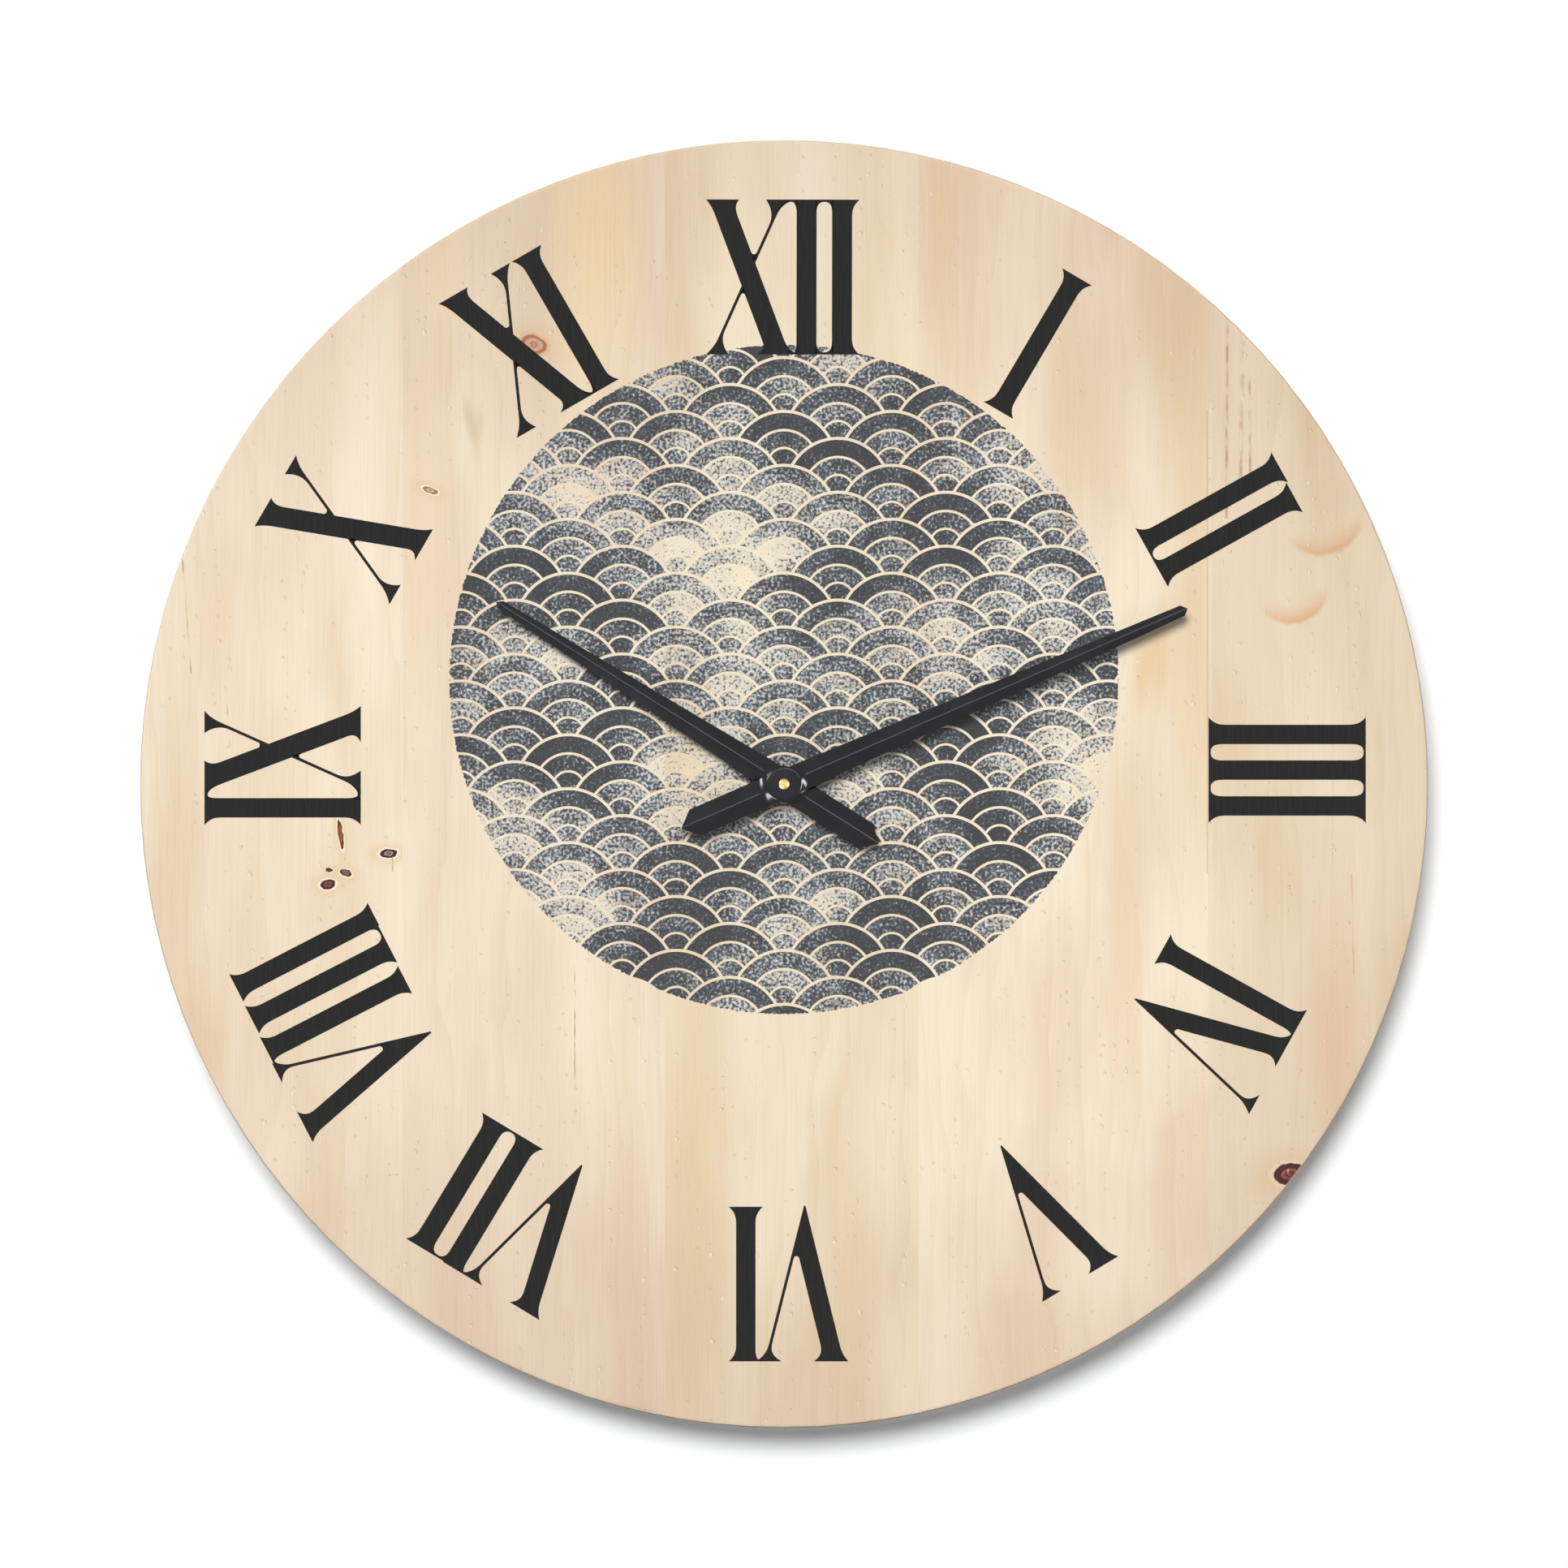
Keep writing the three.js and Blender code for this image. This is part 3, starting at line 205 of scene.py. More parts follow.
@dataclass(frozen=True)
class ScalePrint:
    """Rows of round scales in worn blue-grey ink, stippled like stone, on a disc above the hub."""

    raised: float = 33.0
    radius: float = 105.5
    scale: float = 17.0
    rough: float = 1.6
    cloud: float = 42.0
    speck: float = 0.95
    fleck: float = 7.0
    vary: float = 0.26
    wear: float = 2.2

    def scales(self, tree: bpy.types.NodeTree, x: bpy.types.NodeSocket,
               z: bpy.types.NodeSocket) -> tuple[bpy.types.Node, bpy.types.Node]:
        """Finds which scale a point lies on.

        Rows of circles stand half a radius apart, every other row moved sideways by a radius. Lower
        rows lie in front, so the circle of the lowest row that holds the point wins.

        Args:
            tree: The tree that takes the nodes.
            x: Sideways place in millimetres.
            z: Upward place in millimetres.

        Returns:
            Distance from the scale's middle in radii, and a number of its own.
        """
        add = partial(add_node, tree)
        row = add("Math", {0: z, 1: 2 / self.scale}, operation="MULTIPLY")
        row = add("Math", {0: row}, operation="FLOOR")
        reach, number = 1.0, 0.0
        for above in (1.0, 0.0, -1.0):
            this = add("Math", {0: row, 1: above}, operation="ADD")
            rise = add("Math", {0: this, 1: -self.scale / 2, 2: z}, operation="MULTIPLY_ADD")
            odd = add("Math", {0: this, 1: 2.0}, operation="FLOORED_MODULO")
            moved = add("Math", {0: odd, 1: self.scale, 2: x}, operation="MULTIPLY_ADD")
            beside = add("Math", {0: moved, 1: self.scale, 2: -self.scale}, operation="WRAP")
            flat = add("CombineXYZ", {0: beside, 1: rise})
            away = add("VectorMath", {0: flat}, operation="LENGTH")
            away = add("Math", {0: away, 1: 1 / self.scale}, operation="MULTIPLY")
            held = add("Math", {0: away, 1: 1.0}, operation="LESS_THAN")
            column = add("Math", {0: moved, 1: beside}, operation="SUBTRACT")
            own = add("Math", {0: this, 1: 37.0, 2: column}, operation="MULTIPLY_ADD")
            reach = add("Mix", {"Factor": held, "A": reach, "B": away})
            number = add("Mix", {"Factor": held, "A": number, "B": own})
        return reach, number

    def draw(self, tree: bpy.types.NodeTree, place: bpy.types.Node) -> tuple[bpy.types.Node, bpy.types.Node]:
        """Draws the print on the dial's front.

        Args:
            tree: The tree that takes the nodes.
            place: The place in millimetres.

        Returns:
            How much ink covers the wood, and the ink's colour.
        """
        add = partial(add_node, tree)
        moved = add("VectorMath", {0: place, 1: (0.0, 0.0, -self.raised)}, operation="ADD")
        parts = add("SeparateXYZ", {0: moved}).outputs
        reach, number = self.scales(tree, parts["X"], parts["Z"])
        bands = add("ValToRGB", {"Fac": reach}, stepped=True, ramp=[
            (0.0, (0.58,) * 4), (0.945, (0.0,) * 4), (0.27, (0.0,) * 4), (0.315, (0.46,) * 4),
            (0.60, (0.0,) * 4), (0.645, (0.68,) * 4)])
        drawn = add("Math", {0: bands, 1: 0.05}, operation="GREATER_THAN")
        chance = add("TexWhiteNoise", {"W": number}, noise_dimensions="1D").outputs["Value"]
        tone = add("Math", {0: chance, 1: self.vary, 2: -self.vary / 2}, operation="MULTIPLY_ADD")
        clouds = grain(tree, place, (self.cloud,) * 3, 3.1, 4.0)
        patches = add("Math", {0: clouds, 1: self.wear, 2: -self.wear / 2}, operation="MULTIPLY_ADD")
        density = add("Math", {0: bands, 1: tone}, operation="ADD")
        density = add("Math", {0: density, 1: patches}, operation="ADD")
        speckle = grain(tree, place, (self.speck,) * 3, 5.3, 4.0)
        stipple = add("Math", {0: speckle, 1: -2.4, 2: 1.65}, operation="MULTIPLY_ADD")
        take = add("Math", {0: density, 1: stipple}, operation="SUBTRACT")
        film = add("MapRange", {"Value": take, "From Min": -0.22, "From Max": 0.12, "To Max": 0.97})
        # A pale wash lies under the stipple wherever the print isn't worn away.
        wash = add("MapRange", {"Value": density, "From Min": 0.05, "From Max": 0.5, "To Max": 0.72})
        film = add("Math", {0: film, 1: wash}, operation="MAXIMUM")
        slate = grain(tree, place, (self.fleck,) * 3, 7.7, 4.0)
        depth = add("Math", {0: slate, 1: 0.8, 2: take}, operation="MULTIPLY_ADD")
        ink = add("ValToRGB", {"Fac": depth}, ramp=[
            (0.12, linear("#cdd1d2")), (0.95, linear("#2a2e35")), (0.30, linear("#9aa2aa")),
            (0.48, linear("#656e79")), (0.68, linear("#434a54"))])
        away = add("VectorMath", {0: add("CombineXYZ", {0: parts["X"], 1: parts["Z"]})}, operation="LENGTH")
        edge = add("Math", {0: speckle, 1: self.rough, 2: self.radius - self.rough / 2},
                   operation="MULTIPLY_ADD")
        on_disc = add("Math", {0: away, 1: edge}, operation="LESS_THAN")
        on_front = add("Math", {0: parts["Y"], 1: SKIN - FRONT}, operation="LESS_THAN")
        shown = add("Math", {0: on_disc, 1: on_front}, operation="MULTIPLY")
        shown = add("Math", {0: shown, 1: drawn}, operation="MULTIPLY")
        return add("Math", {0: shown, 1: film}, operation="MULTIPLY"), ink


class Knot(NamedTuple):
    """An oval knot: its middle right of and above the axis, half its sizes, its turn in degrees, and tones.

    Its rim starts at a share of its size, inside. The halo lies just outside it.
    """

    across: float
    up: float
    half_x: float
    half_z: float
    lean: float
    heart: str
    rim: str
    halo: str = "#fff6e4"
    inside: float = 0.68


class Arc(NamedTuple):
    """A growth arc: the lower rim of an oval. Its width is a share of the oval's size."""

    across: float
    up: float
    half_x: float
    half_z: float
    width: float


class Streak(NamedTuple):
    """An upright streak of pitch: its place, both ends, its lean, half its width, and how unbroken it is."""

    across: float
    low: float
    high: float
    lean: float
    width: float
    tone: str
    solid: float


class Patch(NamedTuple):
    """A soft oval of paler or browner wood."""

    across: float
    up: float
    half_x: float
    half_z: float
    tone: str


@dataclass(frozen=True)
class Pine:
    """Planed and sanded pine, oiled matt: soft wavy year rings, warm clouds, rows of small dents with painted
    highlight and shade, knots.
    """

    name: str
    mean: str
    pale: str
    blush: str
    seed: float
    knots: tuple[Knot, ...] = ()
    arcs: tuple[Arc, ...] = ()
    streaks: tuple[Streak, ...] = ()
    patches: tuple[Patch, ...] = ()
    printed: bool = True
    ring: float = 6.5
    brown_from: float = 95.0
    arc_lean: float = -18.0
    patch_drift: tuple[float, float, float] = (14.0, 0.0, 30.0)
    mark_wobble: tuple[float, float, float] = (1.2, 0.0, 1.2)
    streak_wobble: tuple[float, float, float] = (0.4, 0.0, 0.4)
    dent_cell: tuple[float, float] = (3.6, 4.6)

    def material(self) -> bpy.types.Material:
        """Makes the wood, with the print in its surface where it reaches.

        Returns:
            The material.
        """
        material, tree, place = open_material(self.name)
        add = partial(add_node, tree)
        colour = self.figure(tree, place)
        # Rim and rear are read a metre away, so they have dents of their own and none of the front's marks.
        depth = add("SeparateXYZ", {0: place}).outputs["Y"]
        behind = add("Math", {0: depth, 1: SKIN - FRONT}, operation="GREATER_THAN")
        face = add("VectorMath", {0: behind, 1: (1000.0, 0.0, 0.0), 2: place}, operation="MULTIPLY_ADD")
        colour = self.stains(tree, face, colour)
        colour = self.marks(tree, face, colour)
        # The planks are a little browner towards their ends.
        oval = add("VectorMath", {0: place, 1: (0.72, 0.0, 1.0)}, operation="MULTIPLY")
        radius = add("VectorMath", {0: oval}, operation="LENGTH")
        rim = add("MapRange", {"Value": radius, "From Min": self.brown_from, "From Max": DIAL_RADIUS},
                  interpolation_type="SMOOTHSTEP")
        colour = add("Mix", {"Factor": rim, "A": colour, "B": (0.85, 0.795, 0.775, 1.0)}, data_type="RGBA",
                     blend_type="MULTIPLY")
        # The dents give a bump, and a painted highlight and painted shade in the colour.
        height, colour = self.dents(tree, face, colour)
        if self.printed:
            cover, ink = ScalePrint().draw(tree, place)
            colour = add("Mix", {"Factor": cover, "A": colour, "B": ink}, data_type="RGBA")
        close_material(tree, height, 0.25, Base_Color=colour, Roughness=0.62, Specular_IOR_Level=0.14)
        return material

    def figure(self, tree: bpy.types.NodeTree, place: bpy.types.Node) -> bpy.types.Node:
        """Draws the year rings, the clouds and the fibres.

        A ring's tone swells across it and ends at an edge: the square of the part after the point in
        x over ring width, where x wanders sideways and the widths vary. Each ring has a depth of its own.

        Args:
            tree: The tree that takes the nodes.
            place: The place in millimetres.

        Returns:
            The wood's colour.
        """
        add = partial(add_node, tree)
        clouds = grain(tree, place, (30.0, 30.0, 85.0), self.seed, 3.0)
        colour = add("ValToRGB", {"Fac": clouds}, ramp=[
            (0.33, linear(self.blush)), (0.66, linear(self.pale)), (0.48, linear(self.mean))])
        drift = grain(tree, place, (26.0, 26.0, 105.0), self.seed + 3, 2.0)
        x = add("VectorMath", {0: place, 1: (1.0, 0.45, 0.0)}, operation="DOT_PRODUCT").outputs["Value"]
        wander = add("Math", {0: drift, 1: 34.0, 2: x}, operation="MULTIPLY_ADD")
        year = add("Math", {0: wander, 1: 1 / self.ring}, operation="MULTIPLY")
        phase = add("Math", {0: add("Math", {0: year}, operation="FRACT"), 1: 2.0}, operation="POWER")
        number = add("Math", {0: year}, operation="FLOOR")
        deep = add("TexWhiteNoise", {"W": number}, noise_dimensions="1D").outputs["Value"]
        late = add("Math", {0: phase, 1: deep}, operation="MULTIPLY")
        colour = add("Mix", {"Factor": late, "A": colour, "B": (0.965, 0.925, 0.885, 1.0)},
                     data_type="RGBA", blend_type="MULTIPLY")
        fibre = grain(tree, place, (1.3, 1.3, 38.0), self.seed + 4, 3.0)
        shade = add("ValToRGB", {"Fac": fibre}, ramp=[
            (0.30, linear("#f3ece3")), (0.60, linear("#ffffff"))])
        return add("Mix", {"Factor": 0.16, "A": colour, "B": shade}, data_type="RGBA",
                   blend_type="MULTIPLY")

    def oval(self, tree: bpy.types.NodeTree, place: bpy.types.Node, mark: Knot | Arc | Patch, drift: tuple,
             lean: float = 0.0) -> bpy.types.Node:
        """Measures a wandering place against a mark's oval, whose rim lies at one from its middle.

        Args:
            tree: The tree that takes the node.
            place: The place in millimetres, moved by noise.
            mark: The mark.
            drift: The most that the noise moves the place. Half of it is the mean.
            lean: How far the oval is turned, in degrees.

        Returns:
            The place from the oval's middle, in half sizes.
        """
        middle = (mark.across + drift[0] / 2, 0.0, mark.up + drift[2] / 2)
        half = (mark.half_x, ENDLESS, mark.half_z)
        return add_node(tree, "Mapping", {"Vector": place, "Location": middle, "Scale": half,
                                          "Rotation": (0.0, math.radians(lean), 0.0)}, vector_type="TEXTURE")

    def stains(self, tree: bpy.types.NodeTree, place: bpy.types.Node,
               colour: bpy.types.Node) -> bpy.types.Node:
        """Adds soft patches, paler or browner, each an oval that fades from its middle.

        Args:
            tree: The tree that takes the nodes.
            place: The place in millimetres.
            colour: The wood so far.

        Returns:
            The wood with its patches.
        """
        add = partial(add_node, tree)
        drift = grain(tree, place, (8.0, 8.0, 50.0), self.seed + 6, 2.0).outputs["Color"]
        loose = add("VectorMath", {0: drift, 1: self.patch_drift, 2: place}, operation="MULTIPLY_ADD")
        for patch in self.patches:
            moved = self.oval(tree, loose, patch, self.patch_drift)
            reach = add("VectorMath", {0: moved}, operation="LENGTH")
            cover = add("MapRange", {"Value": reach, "From Min": 0.0, "From Max": 1.7, "To Min": 0.75,
                                     "To Max": 0.0}, interpolation_type="SMOOTHSTEP")
            colour = add("Mix", {"Factor": cover, "A": colour, "B": linear(patch.tone)}, data_type="RGBA")
        return colour

    def marks(self, tree: bpy.types.NodeTree, place: bpy.types.Node,
              colour: bpy.types.Node) -> bpy.types.Node:
        """Adds the plank's knots, growth arcs and pitch streaks.

        Args:
            tree: The tree that takes the nodes.
            place: The place in millimetres.
            colour: The wood so far.

        Returns:
            The wood with its marks.
        """
        add = partial(add_node, tree)
        wobble = grain(tree, place, (2.2, 2.2, 2.2), self.seed + 2, 2.0).outputs["Color"]
        loose = add("VectorMath", {0: wobble, 1: self.mark_wobble, 2: place}, operation="MULTIPLY_ADD")
        for knot in self.knots:
            colour = self.knot(tree, loose, colour, knot)
        for arc in self.arcs:
            moved = self.oval(tree, loose, arc, self.mark_wobble, self.arc_lean)
            reach = add("VectorMath", {0: moved}, operation="LENGTH")
            # Dark at its lower edge, fading upwards into the wood.
            band = add("ValToRGB", {"Fac": reach}, ramp=[
                (1.0 - 2 * arc.width, (0.0,) * 4), (1.0, (0.0,) * 4), (1.0 - arc.width / 3, (0.8,) * 4)])
            depth = add("SeparateXYZ", {0: moved}).outputs["Z"]
            low = add("MapRange", {"Value": depth, "From Min": -0.15, "From Max": -0.8})
            cover = add("Math", {0: band, 1: low}, operation="MULTIPLY")
            colour = add("Mix", {"Factor": cover, "A": colour, "B": linear("#dfae7f")}, data_type="RGBA")
        breaks = grain(tree, place, (1.4, 1.4, 6.0), self.seed + 5, 3.0)
        gaps = add("MapRange", {"Value": breaks, "From Min": 0.42, "From Max": 0.62})
        near = add("VectorMath", {0: wobble, 1: self.streak_wobble, 2: place}, operation="MULTIPLY_ADD")
        parts = add("SeparateXYZ", {0: near}).outputs
        for streak in self.streaks:
            off = add("Math", {0: parts["Z"], 1: -streak.lean, 2: parts["X"]}, operation="MULTIPLY_ADD")
            middle = streak.across + self.streak_wobble[0] / 2
            off = add("Math", {0: off, 1: middle}, operation="SUBTRACT")
            off = add("Math", {0: off}, operation="ABSOLUTE")
            thin = add("MapRange", {"Value": off, "From Min": streak.width * 0.2, "From Max": streak.width,
                                    "To Min": 0.75, "To Max": 0.0})
            level, half = (streak.low + streak.high) / 2, (streak.high - streak.low) / 2
            span = add("Math", {0: parts["Z"], 1: level, 2: half}, operation="COMPARE")
            cover = add("Math", {0: thin, 1: span}, operation="MULTIPLY")
            shown = add("Math", {0: gaps, 1: streak.solid}, operation="MAXIMUM")
            cover = add("Math", {0: cover, 1: shown}, operation="MULTIPLY")
            colour = add("Mix", {"Factor": cover, "A": colour, "B": linear(streak.tone)}, data_type="RGBA")
        return colour

    def knot(self, tree: bpy.types.NodeTree, place: bpy.types.Node, colour: bpy.types.Node,
             knot: Knot) -> bpy.types.Node:
        """Adds an oval knot: a dark rim round a ringed heart, a pale line outside it, and a tan glow.

        Args:
            tree: The tree that takes the nodes.
            place: The place in millimetres, wobbling.
            colour: The wood so far.
            knot: The knot.

        Returns:
            The wood with the knot.
        """
        add = partial(add_node, tree)
        moved = self.oval(tree, place, knot, self.mark_wobble, knot.lean)
        reach = add("VectorMath", {0: moved}, operation="LENGTH")
        glow = add("MapRange", {"Value": reach, "From Min": 1.2, "From Max": 4.0, "To Min": 0.45,
                                "To Max": 0.0}, interpolation_type="SMOOTHSTEP")
        colour = add("Mix", {"Factor": glow, "A": colour, "B": linear("#e6c69b")}, data_type="RGBA")
        share = add("Math", {0: reach, 1: 0.5}, operation="MULTIPLY")
        heart, rim, halo = (linear(tone) for tone in (knot.heart, knot.rim, knot.halo))
        start = knot.inside / 2
        ring = add("ValToRGB", {"Fac": share}, ramp=[
            (0.0, heart), (0.80, halo), (0.14, rim), (0.21, heart), (start - 0.05, heart), (start, rim),
            (0.54, rim), (0.60, halo)])
        cover = add("MapRange",
                    {"Value": reach, "From Min": 1.25, "From Max": 1.6, "To Min": 1.0, "To Max": 0.0})
        return add("Mix", {"Factor": cover, "A": colour, "B": ring}, data_type="RGBA")

    def dents(self, tree: bpy.types.NodeTree, place: bpy.types.Node,
              colour: bpy.types.Node) -> tuple[bpy.types.Node, bpy.types.Node]:
        """Scatters dents about a millimetre long in upright rows, with a painted highlight on the left and
        painted shade on the right.

        Each cell of a loose grid may hold one. Its painted highlight and shade follow the signed place across
        it, faded outside an oval, and only some rows have dents.

        Args:
            tree: The tree that takes the nodes.
            place: The place in millimetres.
            colour: The wood so far.

        Returns:
            A height for the bump, and the wood with the dents' painted highlight and shade.
        """
        add = partial(add_node, tree)
        ragged = grain(tree, place, (0.9, 0.9, 1.3), self.seed + 8, 2.0).outputs["Color"]
        loose = add("VectorMath", {0: ragged, 1: (1.5, 0.0, 2.2), 2: place}, operation="MULTIPLY_ADD")
        parts = add("SeparateXYZ", {0: loose}).outputs
        flat = add("CombineXYZ", {0: parts["X"], 1: parts["Z"]})
        spread = add("Mapping", {"Vector": flat, "Location": (self.seed, self.seed * 0.7, 0.0),
                                 "Scale": (1 / self.dent_cell[0], 1 / self.dent_cell[1], 1.0)})
        cells = add("TexVoronoi", {"Vector": spread, "Scale": 1.0, "Randomness": 1.0},
                    voronoi_dimensions="2D")
        middle = cells.outputs["Position"]
        chance = add("SeparateColor", {0: cells.outputs["Color"]}).outputs
        away = add("VectorMath", {0: spread, 1: middle}, operation="SUBTRACT")
        half = (self.dent_cell[0] / 0.8, self.dent_cell[1] / 0.95, 0.0)
        away = add("VectorMath", {0: away, 1: half}, operation="MULTIPLY")
        small = add("MapRange", {"Value": chance["Green"], "To Min": 2.2, "To Max": 0.85})
        away = add("VectorMath", {0: away, 3: small}, operation="SCALE")
        home = add("VectorMath", {0: middle, 1: (*self.dent_cell, 0.0)}, operation="MULTIPLY")
        rows = grain(tree, home, (3.0, 65.0, 1.0), self.seed + 9, 1.0)
        held = add("Math", {0: rows, 1: 1.3, 2: -0.62}, operation="MULTIPLY_ADD")
        held = add("Math", {0: chance["Red"], 1: 0.4, 2: held}, operation="MULTIPLY_ADD")
        held = add("MapRange", {"Value": held, "From Min": 0.34, "From Max": 0.5})
        reach = add("VectorMath", {0: away}, operation="LENGTH")
        dent_bump_and_painted_light = add("MapRange", {"Value": reach, "From Min": 0.35, "From Max": 1.0, "To Min": 1.0,
                                "To Max": 0.0}, interpolation_type="SMOOTHSTEP")
        dent_bump_and_painted_light = add("Math", {0: dent_bump_and_painted_light, 1: held}, operation="MULTIPLY")
        side = add("SeparateXYZ", {0: away}).outputs["X"]
        # Painted highlight on the left side of each dent and painted shade on its right, as if lit from the
        # upper left.
        for tone, start, end, strength in (("#fff8ea", 0.2, -0.4, 0.6), ("#ad875f", 0.1, 0.6, 0.6)):
            painted_light_flank = add("MapRange", {"Value": side, "From Min": start, "From Max": end, "To Max": strength})
            cover = add("Math", {0: painted_light_flank, 1: dent_bump_and_painted_light}, operation="MULTIPLY")
            colour = add("Mix", {"Factor": cover, "A": colour, "B": linear(tone)}, data_type="RGBA")
        fibre = grain(tree, place, (0.8, 0.8, 25.0), self.seed, 2.0)
        return add("Math", {0: dent_bump_and_painted_light, 1: -0.6, 2: fibre}, operation="MULTIPLY_ADD"), colour


@dataclass(frozen=True)
class PrintInk:
    """Charcoal screen ink on wood: flat and matt, with pinholes where the grain took less ink."""

    name: str = "charcoal_screen_ink"
    body: str = "#292929"
    thin: str = "#31302f"

    def material(self) -> bpy.types.Material:
        """Makes the ink.

        Returns:
            The material.
        """
        material, tree, place = open_material(self.name)
        fibre = grain(tree, place, (0.7, 0.7, 9.0), 1.0, 3.0)
        colour = add_node(tree, "ValToRGB", {"Fac": fibre}, ramp=[
            (0.40, linear(self.body)), (0.74, linear(self.thin))])
        close_material(tree, fibre, 0.01, Base_Color=colour, Roughness=0.75, Specular_IOR_Level=0.03)
        return material


@dataclass(frozen=True)
class Coating:
    """A moulded, painted or rolled surface that isn't bare metal: even colour with a fine skin."""

    name: str
    body: str
    high: str
    roughness: float
    specular: float
    lump: tuple
    depth: float

    def material(self) -> bpy.types.Material:
        """Makes the surface: two tones on fine noise, broad patches of wear, and a bumpy skin.

        Returns:
            The material.
        """
        material, tree, place = open_material(self.name)
        add = partial(add_node, tree)
        skin = grain(tree, place, self.lump, 2.0, 3.0)
        patches = grain(tree, place, (14.0, 14.0, 14.0), 6.0, 2.0)
        broad = add("Math", {0: patches, 1: 0.5}, operation="MULTIPLY")
        mixed = add("Math", {0: skin, 1: 0.5, 2: broad}, operation="MULTIPLY_ADD")
        colour = add("ValToRGB", {"Fac": mixed}, ramp=[
            (0.36, linear(self.body)), (0.66, linear(self.high))])
        rough = add("MapRange", {"Value": patches, "From Min": 0.3, "From Max": 0.7,
                                 "To Min": self.roughness - 0.05, "To Max": self.roughness + 0.07})
        close_material(tree, skin, self.depth, Base_Color=colour, Roughness=rough,
                       Specular_IOR_Level=self.specular)
        return material


@dataclass(frozen=True)
class Metal:
    """Bare or plated metal: a metallic shader with tool marks and patches of dulled plating."""

    name: str
    body: str
    dull: str
    roughness: float
    lump: tuple
    depth: float

    def material(self) -> bpy.types.Material:
        """Makes the metal: dull patches a few millimetres wide and stretched tool marks.

        Returns:
            The material.
        """
        material, tree, place = open_material(self.name)
        marks = grain(tree, place, self.lump, 4.0, 3.0)
        patches = grain(tree, place, (5.0, 5.0, 5.0), 8.0, 2.0)
        colour = add_node(tree, "ValToRGB", {"Fac": patches}, ramp=[
            (0.34, linear(self.dull)), (0.64, linear(self.body))])
        rough = add_node(tree, "MapRange", {"Value": marks, "From Min": 0.3, "From Max": 0.7,
                                            "To Min": self.roughness - 0.06, "To Max": self.roughness + 0.08})
        close_material(tree, marks, self.depth, Base_Color=colour, Roughness=rough, Metallic=1.0)
        return material


@dataclass(frozen=True)
class FilmSleeve:
    """Plastic film shrunk round a dry cell: glossy pale grey, with a plain dark band at the nub's end."""

    name: str = "shrunk_film_sleeve"
    body: str = "#b4b8bb"
    band: str = "#34373c"
    edge: float = -10.0

    def material(self) -> bpy.types.Material:
        """Makes the film.

        Returns:
            The material.
        """
        material, tree, place = open_material(self.name)
        add = partial(add_node, tree)
        along = add("SeparateXYZ", {0: place}).outputs["X"]
        beyond = add("Math", {0: along, 1: self.edge}, operation="GREATER_THAN")
        colour = add("Mix", {"Factor": beyond, "A": linear(self.band), "B": linear(self.body)},
                     data_type="RGBA")
        close_material(tree, grain(tree, place, (3.0, 3.0, 3.0), 1.0, 2.0), 0.02, Base_Color=colour,
                       Roughness=0.3, Specular_IOR_Level=0.45)
        return material


Finish = Pine | PrintInk | Coating | Metal | FilmSleeve

# Satin black enamel on the pressed hands: smooth enough for a thin bright ridge.
PAINT = Coating("satin_black_enamel", "#19181b", "#1e1d21", 0.16, 0.22, (0.8, 0.8, 0.8), 0.002)
# White paint wiped into the sunk signs, a little dusty.
SIGN_PAINT = Coating("wiped_white_paint", "#bcbcb8", "#d2d2ce", 0.6, 0.3, (0.6, 0.6, 0.6), 0.01)
INK = PrintInk()
# Zinc-plated wood screws, handled and dulled, darker than the plate that they hold.
SCREW_ZINC = Metal("dulled_zinc_screw", "#85888c", "#696c70", 0.3, (0.5, 0.5, 0.5), 0.012)
FINISHES = {
    # Rolled and turned brass, lacquered, so it stays warm and bright.
    "brass": Metal("turned_brass", "#c8a46a", "#a8834c", 0.36, (0.25, 0.25, 2.5), 0.004),
    # Zinc-plated pressed steel: cool grey with a faint spangle.
    "steel": Metal("zinc_plated_steel", "#b3b6ba", "#a3a7ab", 0.36, (0.9, 0.9, 0.9), 0.01),
    # Annealed electrical iron, grey and dull.
    "iron": Metal("annealed_iron", "#8d8b88", "#6f6c69", 0.48, (0.4, 0.4, 1.6), 0.015),
    # Enamelled copper wire, drawn as lines as coarse as they need to show.
    "copper": Metal("enamelled_copper_wire", "#b8693c", "#8e4524", 0.3, (0.35, 4.0, 4.0), 0.06),
    # Spark-eroded moulding in black ABS: matt grain under half a millimetre.
    "black_plastic": Coating("moulded_black_abs", "#161617", "#232325", 0.52, 0.4, (0.35, 0.35, 0.35), 0.03),
    # Acetal gears and knob: milky, smooth and a little waxy.
    "white_plastic": Coating("moulded_white_acetal", "#dedcd3", "#eeece5", 0.42, 0.45, (1.2, 1.2, 1.2), 0.01),
    # Cut sheet rubber: dark grey and dusty.
    "rubber": Coating("cut_sheet_rubber", "#1d1c1b", "#2e2c2a", 0.8, 0.2, (0.5, 0.5, 0.5), 0.03),
    # Pressed and sintered ferrite: dark, grainy and slightly brown.
    "ferrite": Coating("sintered_ferrite", "#2d2b2c", "#3d3a3a", 0.6, 0.4, (0.2, 0.2, 0.2), 0.02),
    # Phenolic paper board, rolled: brown with a fine paper weave.
    "laminate": Coating("phenolic_paper_board", "#8a5f33", "#a5763f", 0.5, 0.4, (0.5, 3.0, 0.5), 0.01),
    # Drawn nickel-silver can.
    "can": Metal("drawn_nickel_can", "#c4c2bb", "#a19e96", 0.28, (0.3, 0.3, 1.5), 0.008),
    "black_paint": PAINT,
}


